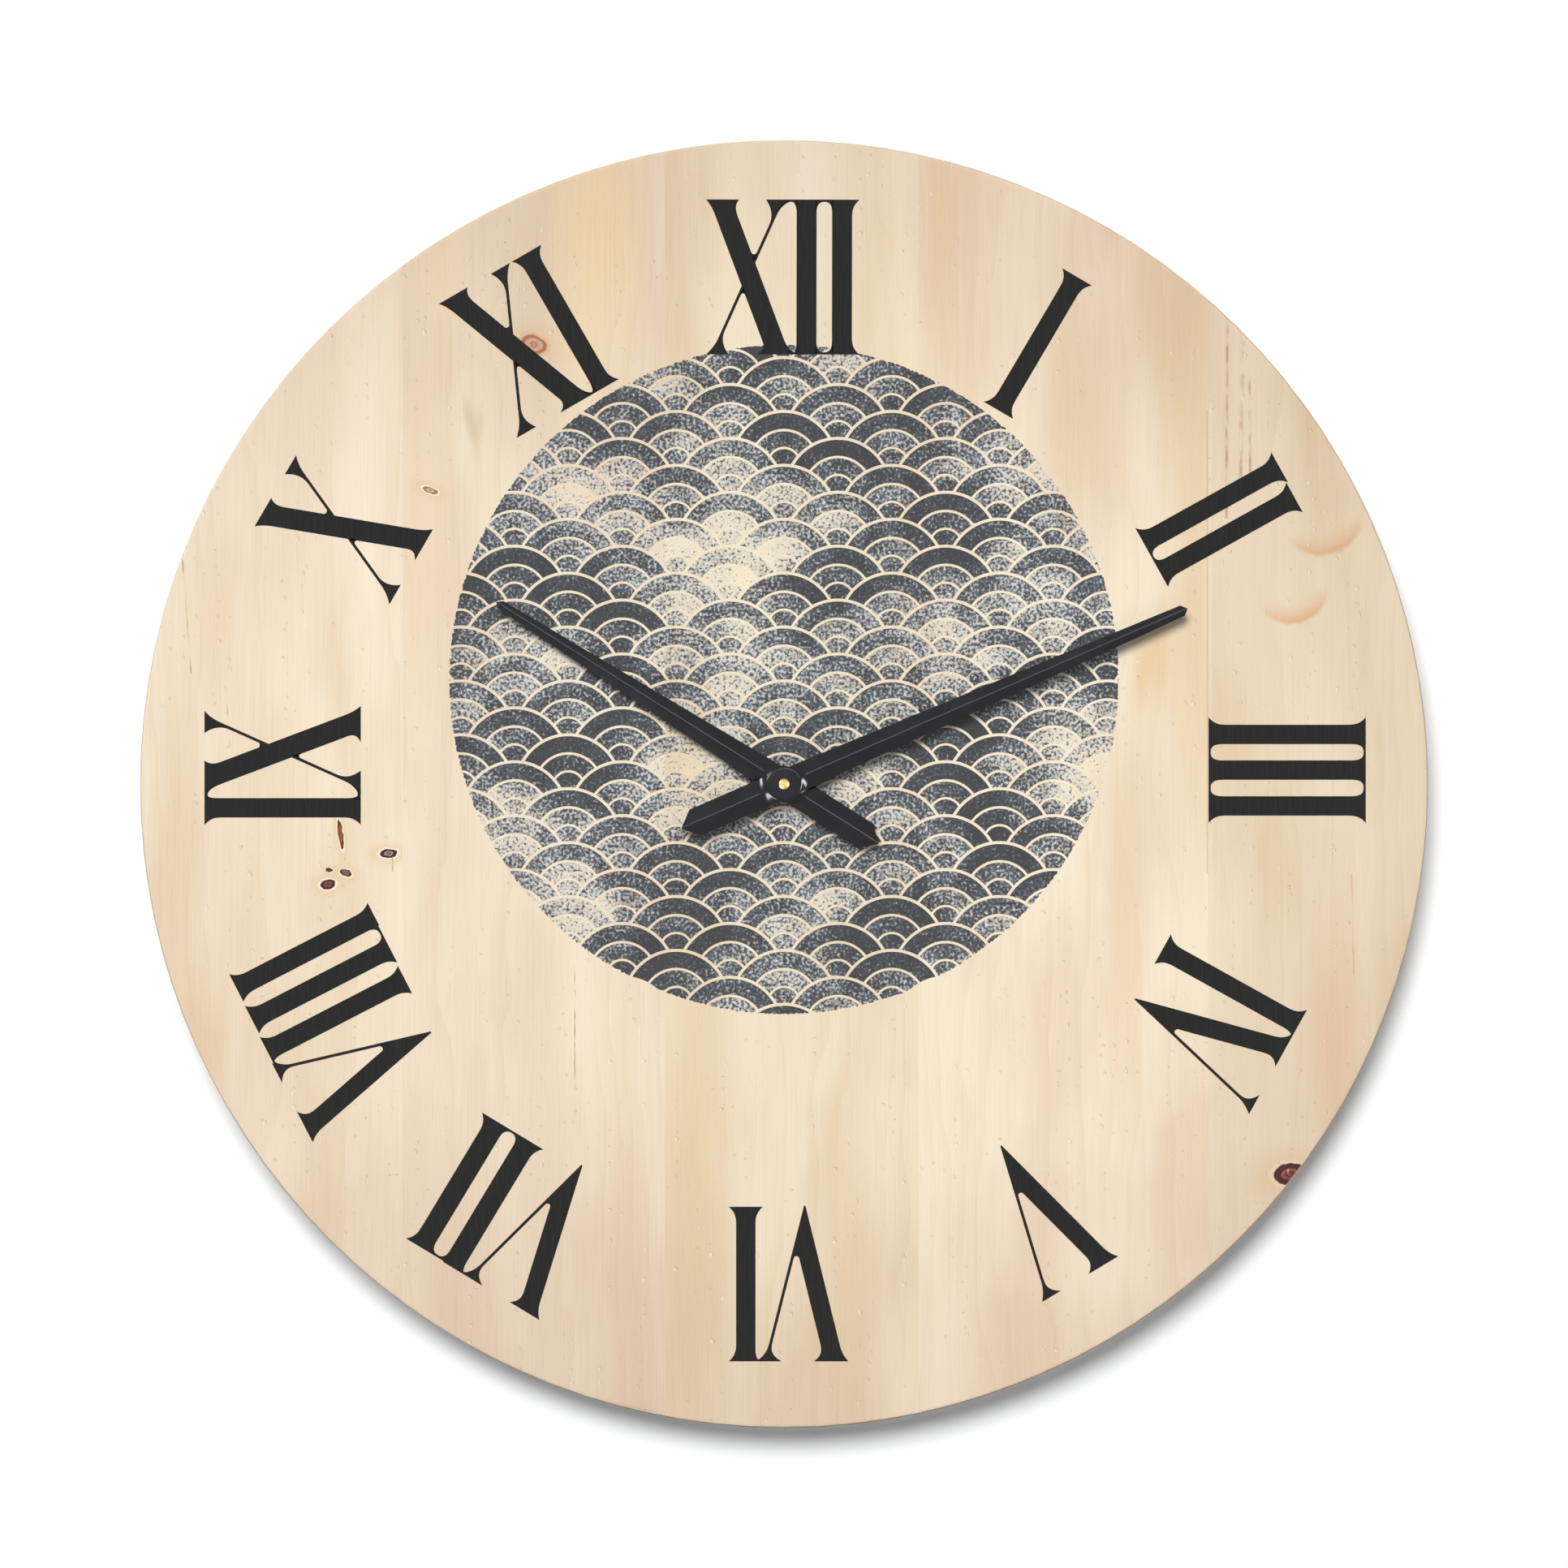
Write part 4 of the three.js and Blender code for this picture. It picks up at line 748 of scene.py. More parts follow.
def weave(rows: int, columns: int) -> np.ndarray:
    """Joins rings of points into four-sided faces.

    Point (row, column) has the number row times columns plus column. A face takes a point, the next
    one round its ring, and the two beside them in the next ring.

    Args:
        rows: How many rings there are.
        columns: How many points a ring has.

    Returns:
        One row of four numbers for each face.
    """
    row, column = np.meshgrid(np.arange(rows - 1), np.arange(columns), indexing="ij")
    after = (column + 1) % columns
    corners = (row * columns + column, row * columns + after,
               (row + 1) * columns + after, (row + 1) * columns + column)
    return np.stack(corners, axis=-1).reshape(-1, 4)


def loft(name: str, rings: np.ndarray) -> bpy.types.Mesh:
    """Stretches a skin over rings and closes both ends, with the faces outwards.

    Args:
        name: The mesh's name.
        rings: Points in millimetres, as ring by point by x, y, z.

    Returns:
        The mesh.
    """
    count, around = rings.shape[:2]
    points = rings.reshape(-1, 3)
    quads = weave(count, around)
    corner = (points - points.mean(axis=0))[quads]
    first = np.cross(corner[:, 1] - corner[:, 0], corner[:, 2] - corner[:, 0])
    second = np.cross(corner[:, 2] - corner[:, 0], corner[:, 3] - corner[:, 0])
    inside_out = ((first + second) * corner.mean(axis=1)).sum() < 0
    ends = [np.arange(around)[::-1].tolist(), np.arange((count - 1) * around, count * around).tolist()]
    faces = quads.tolist() + ends
    if inside_out:
        faces = [face[::-1] for face in faces]
    mesh = bpy.data.meshes.new(name)
    mesh.from_pydata((points * MM).tolist(), [], faces)
    mesh.update()
    return mesh


def show(thing: bpy.types.Object) -> bpy.types.Object:
    """Puts an object into the scene and gives it back."""
    bpy.context.scene.collection.objects.link(thing)
    return thing


def combine(name: str, meshes: list[bpy.types.Mesh], merge: Merge) -> bpy.types.Mesh:
    """Fuses meshes, or cuts the later ones out of the first.

    Args:
        name: The new mesh's name.
        meshes: Closed meshes, used up by this.
        merge: What to do with them.

    Returns:
        The new mesh.
    """
    blanks = [show(bpy.data.objects.new(f"{name}_blank", mesh)) for mesh in meshes]
    for tool in blanks[1:]:
        step = blanks[0].modifiers.new("combine", "BOOLEAN")
        step.operation = merge.value
        step.solver = "EXACT"
        step.object = tool
    mesh = bpy.data.meshes.new_from_object(blanks[0].evaluated_get(bpy.context.evaluated_depsgraph_get()))
    mesh.name = name
    for blank in blanks:
        old = blank.data
        bpy.data.objects.remove(blank)
        bpy.data.meshes.remove(old)
    return mesh


def smooth(mesh: bpy.types.Mesh, crease: float) -> None:
    """Shades a mesh smooth, with edges sharper than the crease angle in degrees kept crisp."""
    mesh.polygons.foreach_set("use_smooth", np.ones(len(mesh.polygons), dtype=bool))
    mesh.set_sharp_from_angle(angle=math.radians(crease))


def merged_copy(node: str) -> bpy.types.Mesh:
    """Copies a CAD node's loose triangles into a mesh with shared points.

    Points that agree to a ten-thousandth of a millimetre become one.

    Args:
        node: The node's name.

    Returns:
        The mesh.
    """
    source = frame["nodes"][node].data
    points = np.empty(len(source.vertices) * 3)
    source.vertices.foreach_get("co", points)
    source.calc_loop_triangles()
    corners = np.empty(len(source.loop_triangles) * 3, dtype=np.int32)
    source.loop_triangles.foreach_get("vertices", corners)
    keys = np.round(points.reshape(-1, 3) / (1e-4 * MM)).astype(np.int64)
    _, first, back = np.unique(keys, axis=0, return_index=True, return_inverse=True)
    triangles = back.reshape(-1)[corners].reshape(-1, 3)
    mesh = bpy.data.meshes.new(node)
    mesh.from_pydata(points.reshape(-1, 3)[first].tolist(), [], triangles.tolist())
    mesh.update()
    return mesh


def place(mesh: bpy.types.Mesh, name: str, body: str, finish: Finish, slot: str,
          replaces: tuple[str, ...] = ()) -> bpy.types.Object:
    """Puts a finished mesh on a body of the clock.

    Args:
        mesh: The mesh, already in its place.
        name: The piece's name.
        body: The body that carries it.
        finish: The finish, which makes the material.
        slot: The record's material slot; not used.
        replaces: The CAD nodes that it stands for.

    Returns:
        The piece.
    """
    known = bpy.data.materials.get(finish.name)
    mesh.materials.clear()
    mesh.materials.append(known or finish.material())
    piece = show(bpy.data.objects.new(name, mesh))
    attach(piece, body)
    if replaces:
        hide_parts(*replaces)
    LOG.info("%s on %s, %d faces", name, body, len(mesh.polygons))
    return piece


def ease_edges(piece: bpy.types.Object, width: float, segments: int, angle: float,
               harden: bool = False) -> None:
    """Rounds a piece's sharp edges.

    Args:
        piece: The piece.
        width: How far an edge is eased, in millimetres.
        segments: How many faces the rounding has.
        angle: Edges sharper than this are rounded, in degrees.
        harden: Whether the flat faces beside the rounding are shaded flat.
    """
    ease = piece.modifiers.new("eased_edges", "BEVEL")
    ease.width = width * MM
    ease.segments = segments
    ease.limit_method = "ANGLE"
    ease.angle_limit = math.radians(angle)
    ease.harden_normals = harden


def dress(node: str, body: str, finish: Finish, slot: str, bevel: float = 0.0,
          crease: float = 35.0) -> bpy.types.Object:
    """Replaces a CAD node by its merged copy with eased edges.

    Args:
        node: The node's name.
        body: The body that carries it.
        finish: The finish.
        slot: The record's material slot.
        bevel: How far sharp edges are eased, in millimetres.
        crease: Edges sharper than this stay crisp.

    Returns:
        The piece.
    """
    mesh = merged_copy(node)
    smooth(mesh, crease)
    piece = place(mesh, f"{node}_dressed", body, finish, slot, (node,))
    if bevel:
        ease_edges(piece, bevel, 2, crease, harden=True)
    even = piece.modifiers.new("even_faces", "WEIGHTED_NORMAL")
    even.keep_sharp = True
    return piece


@dataclass
class Dial:
    """Five edge-glued planks, each with its own tone and marks."""

    planks: tuple[Pine, ...] = (
        Pine("oiled_pine_far_left", "#f5e5cb", "#faedd4", "#f0dcbf", 11.3,
             knots=(Knot(-143.9, -31.6, 2.1, 1.35, -8, "#8f4a4b", "#3d1519"),
                    Knot(-138.2, -28.1, 1.7, 1.0, 12, "#7d4a50", "#2f0f13"),
                    Knot(-143.3, -27.2, 0.95, 0.62, 5, "#5f4330", "#38200f"),
                    Knot(-124.8, -21.9, 2.4, 1.3, -4, "#b28f8a", "#37161a"),
                    Knot(-139.9, -15.8, 0.72, 4.1, -8, "#a8632a", "#6b3513")),
             streaks=(Streak(-184.5, 35, 73, -0.073, 0.38, "#a98d66", 0.0),
                      Streak(-173.9, 12, 31, -0.071, 0.38, "#a98d66", 0.0),
                      Streak(-124, -27.5, -22.5, -0.02, 0.4, "#a5754f", 0.4)),
             patches=(Patch(-184, -81, 9, 25, "#e9cda6"), Patch(-177, 50, 6, 26, "#f1d9ba"),
                      Patch(-191, -15, 7, 40, "#ebd2ae"), Patch(-150, 120, 10, 30, "#f5e6cc"),
                      Patch(-133, 85, 8, 50, "#fff2dc"), Patch(-160, 3, 11, 20, "#efd9b9"),
                      Patch(-160, -118, 10, 20, "#fdf0d8")),
             printed=False),
        Pine("oiled_pine_left", "#f1e1c7", "#f6e9d0", "#ecd7bd", 23.9,
             knots=(Knot(-78.9, 138.7, 3.7, 2.45, 22, "#d6a993", "#b4764d", "#e3bf97", 0.84),
                    Knot(-111.6, 92.6, 2.2, 0.9, 20, "#e2c19f", "#a97a55")),
             streaks=(Streak(-66, -101, -57, 0.0, 0.35, "#a5835a", 0.0),
                      Streak(-45.7, -101, -67, 0.0, 0.3, "#fbf2e0", 0.3)),
             patches=(Patch(-96.5, 114.5, 2.2, 7, "#dcc6a8"), Patch(-103, -155, 12, 50, "#e9d1b6"),
                      Patch(-76, -130, 10, 75, "#ead6bb"), Patch(-77, 140, 12, 50, "#e5d2b7"),
                      Patch(-60, 170, 14, 45, "#f8e0b3"), Patch(-50, -150, 9, 55, "#e6cbae"),
                      Patch(-116, 75, 9, 55, "#f0d6b6"), Patch(-109, 160, 8, 20, "#f8e4c2"),
                      Patch(-116, -111, 9, 30, "#efd9c1"))),
        Pine("oiled_pine_centre", "#f1e1c5", "#f6e9cd", "#ead6b6", 37.1,
             patches=(Patch(-29, -125, 12, 85, "#e2c8a0"), Patch(22, -150, 9, 36, "#ecd5b4"),
                      Patch(36, 165, 11, 55, "#fff0d2"), Patch(-15, 172, 12, 40, "#fdf0d2"),
                      Patch(9, 185, 11, 35, "#fff8e4"), Patch(38, -190, 8, 25, "#fff0d4"))),
        Pine("oiled_pine_right", "#f6e6cc", "#faeed5", "#f1dcc0", 51.7,
             streaks=(Streak(133.5, -28, 118, 0.0, 0.26, "#c4a174", 0.8),),
             patches=(Patch(115.7, 37, 8, 14, "#e8c897"), Patch(106, -58, 6, 42, "#efd2b2"),
                      Patch(129, 70, 8, 100, "#e8cda6"), Patch(122, 140, 14, 30, "#e3c9a3"),
                      Patch(48, -190, 9, 25, "#fff4dc"), Patch(49, 172, 8, 50, "#edd5b1"),
                      Patch(92, 118, 14, 45, "#e4c9a7"), Patch(112, -12, 15, 32, "#e8d0af"),
                      Patch(100, -150, 18, 18, "#fff2da"))),
        Pine("oiled_pine_far_right", "#ebd9bc", "#f1e2c7", "#e4ceae", 67.3,
             knots=(Knot(159.6, -123, 4.6, 3.0, -6, "#9c5a4c", "#4a1c22", "#f3dfc0", 0.6),),
             arcs=(Arc(169.8, 84, 13.5, 12.5, 0.34), Arc(160.2, 61.5, 12, 11.5, 0.32)),
             streaks=(Streak(178.5, -60, -28, -0.02, 0.4, "#d8b38d", 0.2),
                      Streak(173, -75, 20, 0.0, 0.25, "#d9bf9b", 0.3),
                      Streak(134.6, -60, 120, 0.0, 0.5, "#f5e6cc", 0.5),
                      Streak(139.2, 84, 150, 0.004, 0.7, "#b98a72", 0.1),
                      Streak(142.9, 92, 143, 0.012, 0.9, "#c79d84", 0.0),
                      Streak(147.6, 96, 132, -0.006, 0.6, "#b98a72", 0.05)),
             patches=(Patch(174, -88, 8, 50, "#e5c5a3"), Patch(150, 55, 12, 40, "#ecd6ba"),
                      Patch(145, 140, 10, 25, "#f3e3c8")),
             printed=False),
    )
    nodes: tuple[str, ...] = ("plank_far_left", "plank_left", "plank_centre", "plank_right",
                              "plank_far_right")
    seam_reach: float = 0.2

    def close_seams(self, mesh: bpy.types.Mesh, seams: np.ndarray) -> None:
        """Moves a plank's edges to the middle of the glue lines beside it, so that no gap shows.

        Args:
            mesh: The plank.
            seams: The places of the glue lines across the dial.
        """
        points = np.empty(len(mesh.vertices) * 3)
        mesh.vertices.foreach_get("co", points)
        across = points[0::3]
        nearest = seams[np.abs(across[:, None] - seams).argmin(axis=1)]
        points[0::3] = np.where(np.abs(across - nearest) < self.seam_reach * MM, nearest, across)
        mesh.vertices.foreach_set("co", points)
        mesh.update()

    def build(self) -> None:
        """Dresses the planks in order from the left."""
        edges = [(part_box(left)[1].x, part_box(right)[0].x) for left, right in zip(self.nodes, self.nodes[1:])]
        seams = np.array(edges).mean(axis=1)
        for node, finish in zip(self.nodes, self.planks):
            piece = dress(node, "clock_body", finish, "pine", crease=40.0)
            self.close_seams(piece.data, seams)


@dataclass(frozen=True)
class Flare:
    """A serif's swell: at a distance d from the end it adds reach times (1 - d / rise) to a power."""

    reach: float
    rise: float
    power: float

    def swell(self, distance: np.ndarray) -> np.ndarray:
        """Gives the added width at each distance from the end."""
        return self.reach * np.clip(1 - distance / self.rise, 0, None) ** self.power


@dataclass(frozen=True)
class Stroke:
    """One stroke of a letter: two edges over the same heights."""

    height: np.ndarray
    left: np.ndarray
    right: np.ndarray

    def flared(self, foot: tuple[Flare | None, Flare | None],
               head: tuple[Flare | None, Flare | None]) -> "Stroke":
        """Adds serifs to a stroke.

        Args:
            foot: Flares of the left and right edge at the foot.
            head: Flares of the left and right edge at the head.

        Returns:
            The stroke with its serifs.
        """
        low, high = self.height - self.height[0], self.height[-1] - self.height
        edges = []
        sides = ((self.left, -1, foot[0], head[0]), (self.right, 1, foot[1], head[1]))
        for edge, sign, at_foot, at_head in sides:
            swell = (at_foot.swell(low) if at_foot else 0) + (at_head.swell(high) if at_head else 0)
            edges.append(edge + sign * swell)
        return Stroke(self.height, *edges)


class Letter(NamedTuple):
    """How far a letter's middle or apex lies right of the radius, and what its foot and its head lack."""

    across: float
    foot: float = 0.0
    head: float = 0.0


@dataclass
class Numeral:
    """One Roman numeral: an ink film whose strokes are slabs between two edges."""

    name: str
    hour: int
    foot: float
    lean: float
    letters: tuple[Letter, ...]
    joins: tuple[Join, ...] = ()
    size: float = 48.85
    stem: float = 6.1
    lip: float = 0.7
    arch: float = 3.3
    bend: float = 2.4
    serif: float = 2.35
    film: float = 0.11
    sunk: float = 0.05
    end_rows: float = 8.0
    rooted: float = 0.25
    crossed: float = 0.05
    parted: float = 0.05
    crotch_depth: float = 1.5
    v_crotch: tuple[float, float] = (1.9, 0.7)
    x_crotch: tuple[float, float] = (0.7, 0.5)
    v_leans: tuple[float, float] = (-0.2465, 0.253)
    v_apex: tuple[float, float] = (-0.15, 0.3)
    v_widths: tuple[float, float] = (6.05, 0.95)
    x_leans: tuple[float, float] = (-0.377, 0.4475)
    x_shifts: tuple[float, float] = (0.74, 0.08)
    x_widths: tuple[float, float] = (7.0, 1.0)

    def heights(self) -> np.ndarray:
        """Lays rows across a letter, closer together at both ends.

        Returns:
            The heights of the rows above the foot.
        """
        near = self.end_rows * np.linspace(0, 1, 17) ** 1.4
        middle = np.linspace(self.end_rows, self.size - self.end_rows, 34)
        return np.unique(np.concatenate([near, middle, self.size - near]))

    def strokes(self, shape: Shape, letter: Letter, before: Join, after: Join) -> list[Stroke]:
        """Draws a letter. Slanted strokes have straight edges, and serifs swell towards their ends.

        Args:
            shape: Which letter it is.
            letter: Its place and its ends.
            before: Where it runs into the letter on its left.
            after: Where it runs into the letter on its right.

        Returns:
            Its strokes, the thick one first.
        """
        y = letter.foot + self.heights() * (1 - (letter.foot + letter.head) / self.size)
        x = letter.across
        if shape is Shape.I:
            serif = Flare(self.serif, 6.0, 3.0)
            bare = Stroke(y, np.full_like(y, x - self.stem / 2), np.full_like(y, x + self.stem / 2))
            foot, head = ([None if side.value[end] else serif for side in (before, after)]
                          for end in (0, 1))
            return [bare.flared(foot, head)]
        if shape is Shape.V:
            left, right = (x + apex + lean * y for apex, lean in zip(self.v_apex, self.v_leans))
            thick = Stroke(y, left, np.minimum(left + self.v_widths[0], right))
            thin = Stroke(y, np.maximum(right - self.v_widths[1], left), right)
            return [thick.flared((None, None), (Flare(1.5, 6.0, 3.0), Flare(3.4, 6.0, 3.0))),
                    thin.flared((None, None), (Flare(4.4, 6.5, 3.0), Flare(1.6, 5.5, 2.0)))]
        rise = y - self.size / 2
        middles = (x + shift + lean * rise for shift, lean in zip(self.x_shifts, self.x_leans))
        thick, thin = (Stroke(y, middle - width / 2, middle + width / 2)
                       for middle, width in zip(middles, self.x_widths))
        return [thick.flared((Flare(3.4, 4.5, 3.0), Flare(1.0, 6.0, 3.0)),
                             (Flare(1.0, 6.0, 3.0), Flare(2.4, 6.0, 3.0))),
                thin.flared((Flare(1.5, 5.0, 2.0), Flare(4.6, 7.5, 2.0)),
                            (Flare(4.6, 8.0, 2.0), Flare(1.4, 6.0, 3.0)))]

    def slab(self, one: np.ndarray, other: np.ndarray) -> bpy.types.Mesh:
        """Fills the strip between two edges with a film of ink.

        Args:
            one: Points of the first edge, as across and up from the foot.
            other: Points of the second edge.

        Returns:
            The mesh, turned to its hour.
        """
        flat = np.stack([one, other, other, one], axis=1)
        flat = flat - np.array([0.0, self.size / 2])
        lean, hour = math.radians(self.lean), math.radians(30 * self.hour)
        across = flat[..., 0] * math.cos(lean) + flat[..., 1] * math.sin(lean)
        up = flat[..., 1] * math.cos(lean) - flat[..., 0] * math.sin(lean) + self.foot + self.size / 2
        depth = np.array([FRONT + self.film, FRONT + self.film, FRONT - self.sunk, FRONT - self.sunk])
        rings = np.stack([across * math.cos(hour) + up * math.sin(hour),
                          -np.broadcast_to(depth, across.shape),
                          up * math.cos(hour) - across * math.sin(hour)], axis=-1)
        return loft(self.name, rings)

    def web(self, left: Stroke, right: Stroke, end: int, lip: float, arch: float,
            start: float = 0.0) -> list[bpy.types.Mesh]:
        """Fills between two strokes at one end, up to half an ellipse as wide as the gap.

        At a distance d from the end, beyond the lip, the opening's half width is half the gap times
        the bend-th root of 1 - (1 - (d - lip) / arch) to the bend. Below the lip there is none.

        Args:
            left: The stroke on the left.
            right: The stroke on the right.
            end: Zero at the foot, minus one at the head.
            lip: How much is filled right across.
            arch: How long the rounding is.
            start: How far from the end the filling starts.

        Returns:
            The fillets beside the left and the right stroke.
        """
        away = np.concatenate([[start, lip], lip + arch * (1 - np.cos(np.linspace(0.05, math.pi / 2, 14)))])
        if end:
            up = min(left.height[-1], right.height[-1]) - away
        else:
            up = max(left.height[0], right.height[0]) + away
        low = np.interp(up, left.height, left.right)
        high = np.interp(up, right.height, right.left)
        share = np.clip(1 - (away - lip) / arch, 0, 1)
        half = (high - low) / 2 * (1 - share ** self.bend) ** (1 / self.bend) * (away > lip)
        half -= self.crossed * (away <= lip)
        middle = (low + high) / 2
        sides = ((low - self.rooted, middle - half), (middle + half, high + self.rooted))
        return [self.slab(np.stack([one, up], axis=1), np.stack([other, up], axis=1))
                for one, other in sides]

    def crotches(self, shape: Shape, drawn: list[Stroke]) -> list[bpy.types.Mesh]:
        """Rounds the sharp corners where the strokes of a V or an X part.

        Args:
            shape: Which letter it is.
            drawn: Its thick and its thin stroke.

        Returns:
            The fillets.
        """
        if shape is Shape.I:
            return []
        thick, thin = drawn
        lip, arch = self.v_crotch if shape is Shape.V else self.x_crotch
        open_from = thick.height[np.argmax(thin.left - thick.right > self.parted)]
        fillets = self.web(thick, thin, 0, open_from + lip, arch, open_from - self.crotch_depth)
        if shape is Shape.X:
            below = np.flatnonzero(thick.left - thin.right > self.parted)
            open_to = thick.height[-1] - thick.height[below[-1]]
            fillets += self.web(thin, thick, -1, open_to + lip, arch, open_to - self.crotch_depth)
        return fillets

    def build(self) -> None:
        """Fuses the letters and their webs into one film."""
        shapes = [Shape(sign) for sign in self.name]
        sides = zip((Join.NONE, *self.joins), (*self.joins, Join.NONE))
        drawn = [self.strokes(*each, *side) for *each, side in zip(shapes, self.letters, sides)]
        slabs = [self.slab(np.stack([s.left, s.height], axis=1), np.stack([s.right, s.height], axis=1))
                 for letter in drawn for s in letter]
        for shape, strokes in zip(shapes, drawn):
            slabs += self.crotches(shape, strokes)
        for one, other, join in zip(drawn, drawn[1:], self.joins):
            for end in (end for end, wanted in zip((0, -1), join.value) if wanted):
                slabs += self.web(max(one, key=lambda s: s.right[end]), min(other, key=lambda s: s.left[end]),
                                  end, self.lip, self.arch)
        mesh = combine(f"numeral_{self.name}", slabs, Merge.FUSE)
        place(mesh, f"numeral_{self.name}", "clock_body", INK, "black_paint")


@dataclass
class Numerals:
    """The twelve numerals round the dial, each where the print put it."""

    twelve: tuple[Numeral, ...] = (
        Numeral("XII", 12, 135.5, 0.1, (Letter(-11.65), Letter(7.1), Letter(18.3)),
                (Join.BOTH, Join.BOTH), stem=6.3),
        Numeral("I", 1, 135.9, 0.5, (Letter(-0.15),)),
        Numeral("II", 2, 136.1, 0.9, (Letter(-8.75), Letter(1.8, 0.0, 0.5)), (Join.FOOT,), size=49.1),
        Numeral("III", 3, 133.9, 0.0, (Letter(-15.65), Letter(-4.4), Letter(6.9)),
                (Join.BOTH, Join.BOTH), size=49.6, arch=4.3, bend=2.8),
        Numeral("IV", 4, 129.7, -0.9, (Letter(-15.0), Letter(2.9)), (Join.HEAD,), size=49.1),
        Numeral("V", 5, 133.0, -1.0, (Letter(-2.7),), size=49.0),
        Numeral("VI", 6, 133.0, 0.0, (Letter(-6.6), Letter(12.05, 0.35)), (Join.HEAD,), size=49.1),
        Numeral("VII", 7, 135.9, 1.1,
                (Letter(-4.5, 0.0, 0.1), Letter(14.1, 2.05, 0.1), Letter(25.6, 2.05, 0.4)),
                (Join.HEAD, Join.BOTH), stem=6.4),
        Numeral("VIII", 8, 135.0, 2.7,
                (Letter(-11.0), Letter(7.5, -0.3, 0.4), Letter(18.4, -0.6, 0.7), Letter(29.55, -0.9, 0.9)),
                (Join.HEAD, Join.NONE, Join.FOOT), size=49.1, serif=1.9),
        Numeral("IX", 9, 133.5, 0.0, (Letter(-7.5), Letter(10.1)), (Join.BOTH,),
                size=49.3, lip=1.0, bend=3.0),
        Numeral("X", 10, 136.1, 0.2, (Letter(-0.15),), size=49.1),
        Numeral("XI", 11, 136.7, 0.0, (Letter(-5.6), Letter(13.35)), (Join.FOOT,), size=48.9),
    )

    def build(self) -> None:
        """Prints the numerals in order."""
        for numeral in self.twelve:
            numeral.build()


@dataclass
class Hand:
    """A pressed hand: a roof with a soft ridge, drawn up to a round boss, pointed at both ends."""

    node: str
    body: str
    turn: float
    length: float
    tip_width: float
    bore: float
    width: float = 9.0
    point: float = 1.7
    tail: float = 35.2
    tail_point: float = 4.7
    sheet: float = 0.6
    slope: float = 0.22
    boss: float = 11.5
    boss_rise: float = 0.6
    skirt: float = 2.9
    ridge_soft: float = 0.40
    ease: float = 0.24
    fine: float = 9.0
    blunt: float = 0.1
    boss_inset: float = 0.3
    skirt_soft: float = 0.05
    gather: float = 1.6
    ribs: int = 41
    around: int = 48
    bore_reach: float = 5.0

    def stations(self) -> np.ndarray:
        """Lays cross-sections along the hand, closest at the boss and the ends.

        Returns:
            Their distances from the axis, below zero towards the tail.
        """
        shoulder = self.length - self.point
        return np.unique(np.concatenate([
            np.linspace(-self.tail, self.tail_point - self.tail, 5),
            np.linspace(self.tail_point - self.tail, -self.fine, 12), np.linspace(-self.fine, self.fine, 97),
            np.linspace(self.fine, shoulder, 40), np.linspace(shoulder, self.length, 4)]))

    def half_width(self, along: np.ndarray) -> np.ndarray:
        """Gives half the width along the hand: straight edges between corners, or the boss's circle.

        Args:
            along: Distance from the axis towards the tip.

        Returns:
            Half the width there.
        """
        corners = (-self.tail, self.tail_point - self.tail, 0.0, self.length - self.point, self.length)
        halves = (self.blunt, self.width / 2, self.width / 2, self.tip_width / 2, self.blunt)
        circle = np.sqrt(np.clip((self.boss / 2) ** 2 - along ** 2, 0, None))
        return np.maximum(np.interp(along, corners, halves), circle)

    def crown(self, along: np.ndarray, across: np.ndarray) -> tuple[np.ndarray, np.ndarray]:
        """Gives the heights of the front and back surface above the hand's lowest edge.

        The roof falls by slope times (sqrt(across squared + soft squared) - soft) from the ridge. The
        boss is a flat top that eases down to the roof as (1 - q) squared over the skirt.

        Args:
            along: Distance from the axis towards the tip.
            across: Distance from the ridge.

        Returns:
            Front and back heights.
        """
        ridge = self.sheet + self.slope * self.width / 2
        fall = np.sqrt(across ** 2 + self.ridge_soft ** 2) - self.ridge_soft
        roof = ridge - self.slope * fall
        q = (np.hypot(along, across) - self.boss / 2 + self.boss_inset) / self.skirt
        q = (q + np.sqrt(q ** 2 + self.skirt_soft ** 2)) / 2
        share = np.clip(1 - q, 0, 1) ** 2
        front = roof + (ridge + self.boss_rise - roof) * share
        return front, np.maximum(roof - self.sheet, 0.0)

    def build(self) -> None:
        """Lofts the hand through its cross-sections and bores it for its pipe or arbor."""
        along = self.stations()[:, None]
        spread = np.linspace(-1, 1, self.ribs)
        spread = np.sign(spread) * np.abs(spread) ** self.gather
        across = self.half_width(along) * spread
        front, back = self.crown(np.broadcast_to(along, across.shape), across)
        rows = np.concatenate([across, across[:, ::-1]], axis=1)
        lift = np.concatenate([front, back[:, ::-1]], axis=1)
        angle = math.radians(self.turn)
        rear = -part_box(self.node)[1].y / MM
        rings = np.stack([along * math.sin(angle) + rows * math.cos(angle), -(rear + lift),
                          along * math.cos(angle) - rows * math.sin(angle)], axis=-1)
        round_way = np.linspace(0, 2 * math.pi, self.around, endpoint=False)
        ends = np.array([rear - self.bore_reach, rear + self.bore_reach])[:, None]
        shape = (2, self.around)
        hole = np.stack([np.broadcast_to(self.bore * np.cos(round_way), shape), np.broadcast_to(-ends, shape),
                         np.broadcast_to(self.bore * np.sin(round_way), shape)], axis=-1)
        mesh = combine(f"{self.node}_pressed", [loft(self.node, rings), loft("bore", hole)], Merge.CUT)
        smooth(mesh, 40.0)
        piece = place(mesh, f"{self.node}_pressed", self.body, PAINT, "black_paint", (self.node,))
        ease_edges(piece, self.ease, 3, 45.0)


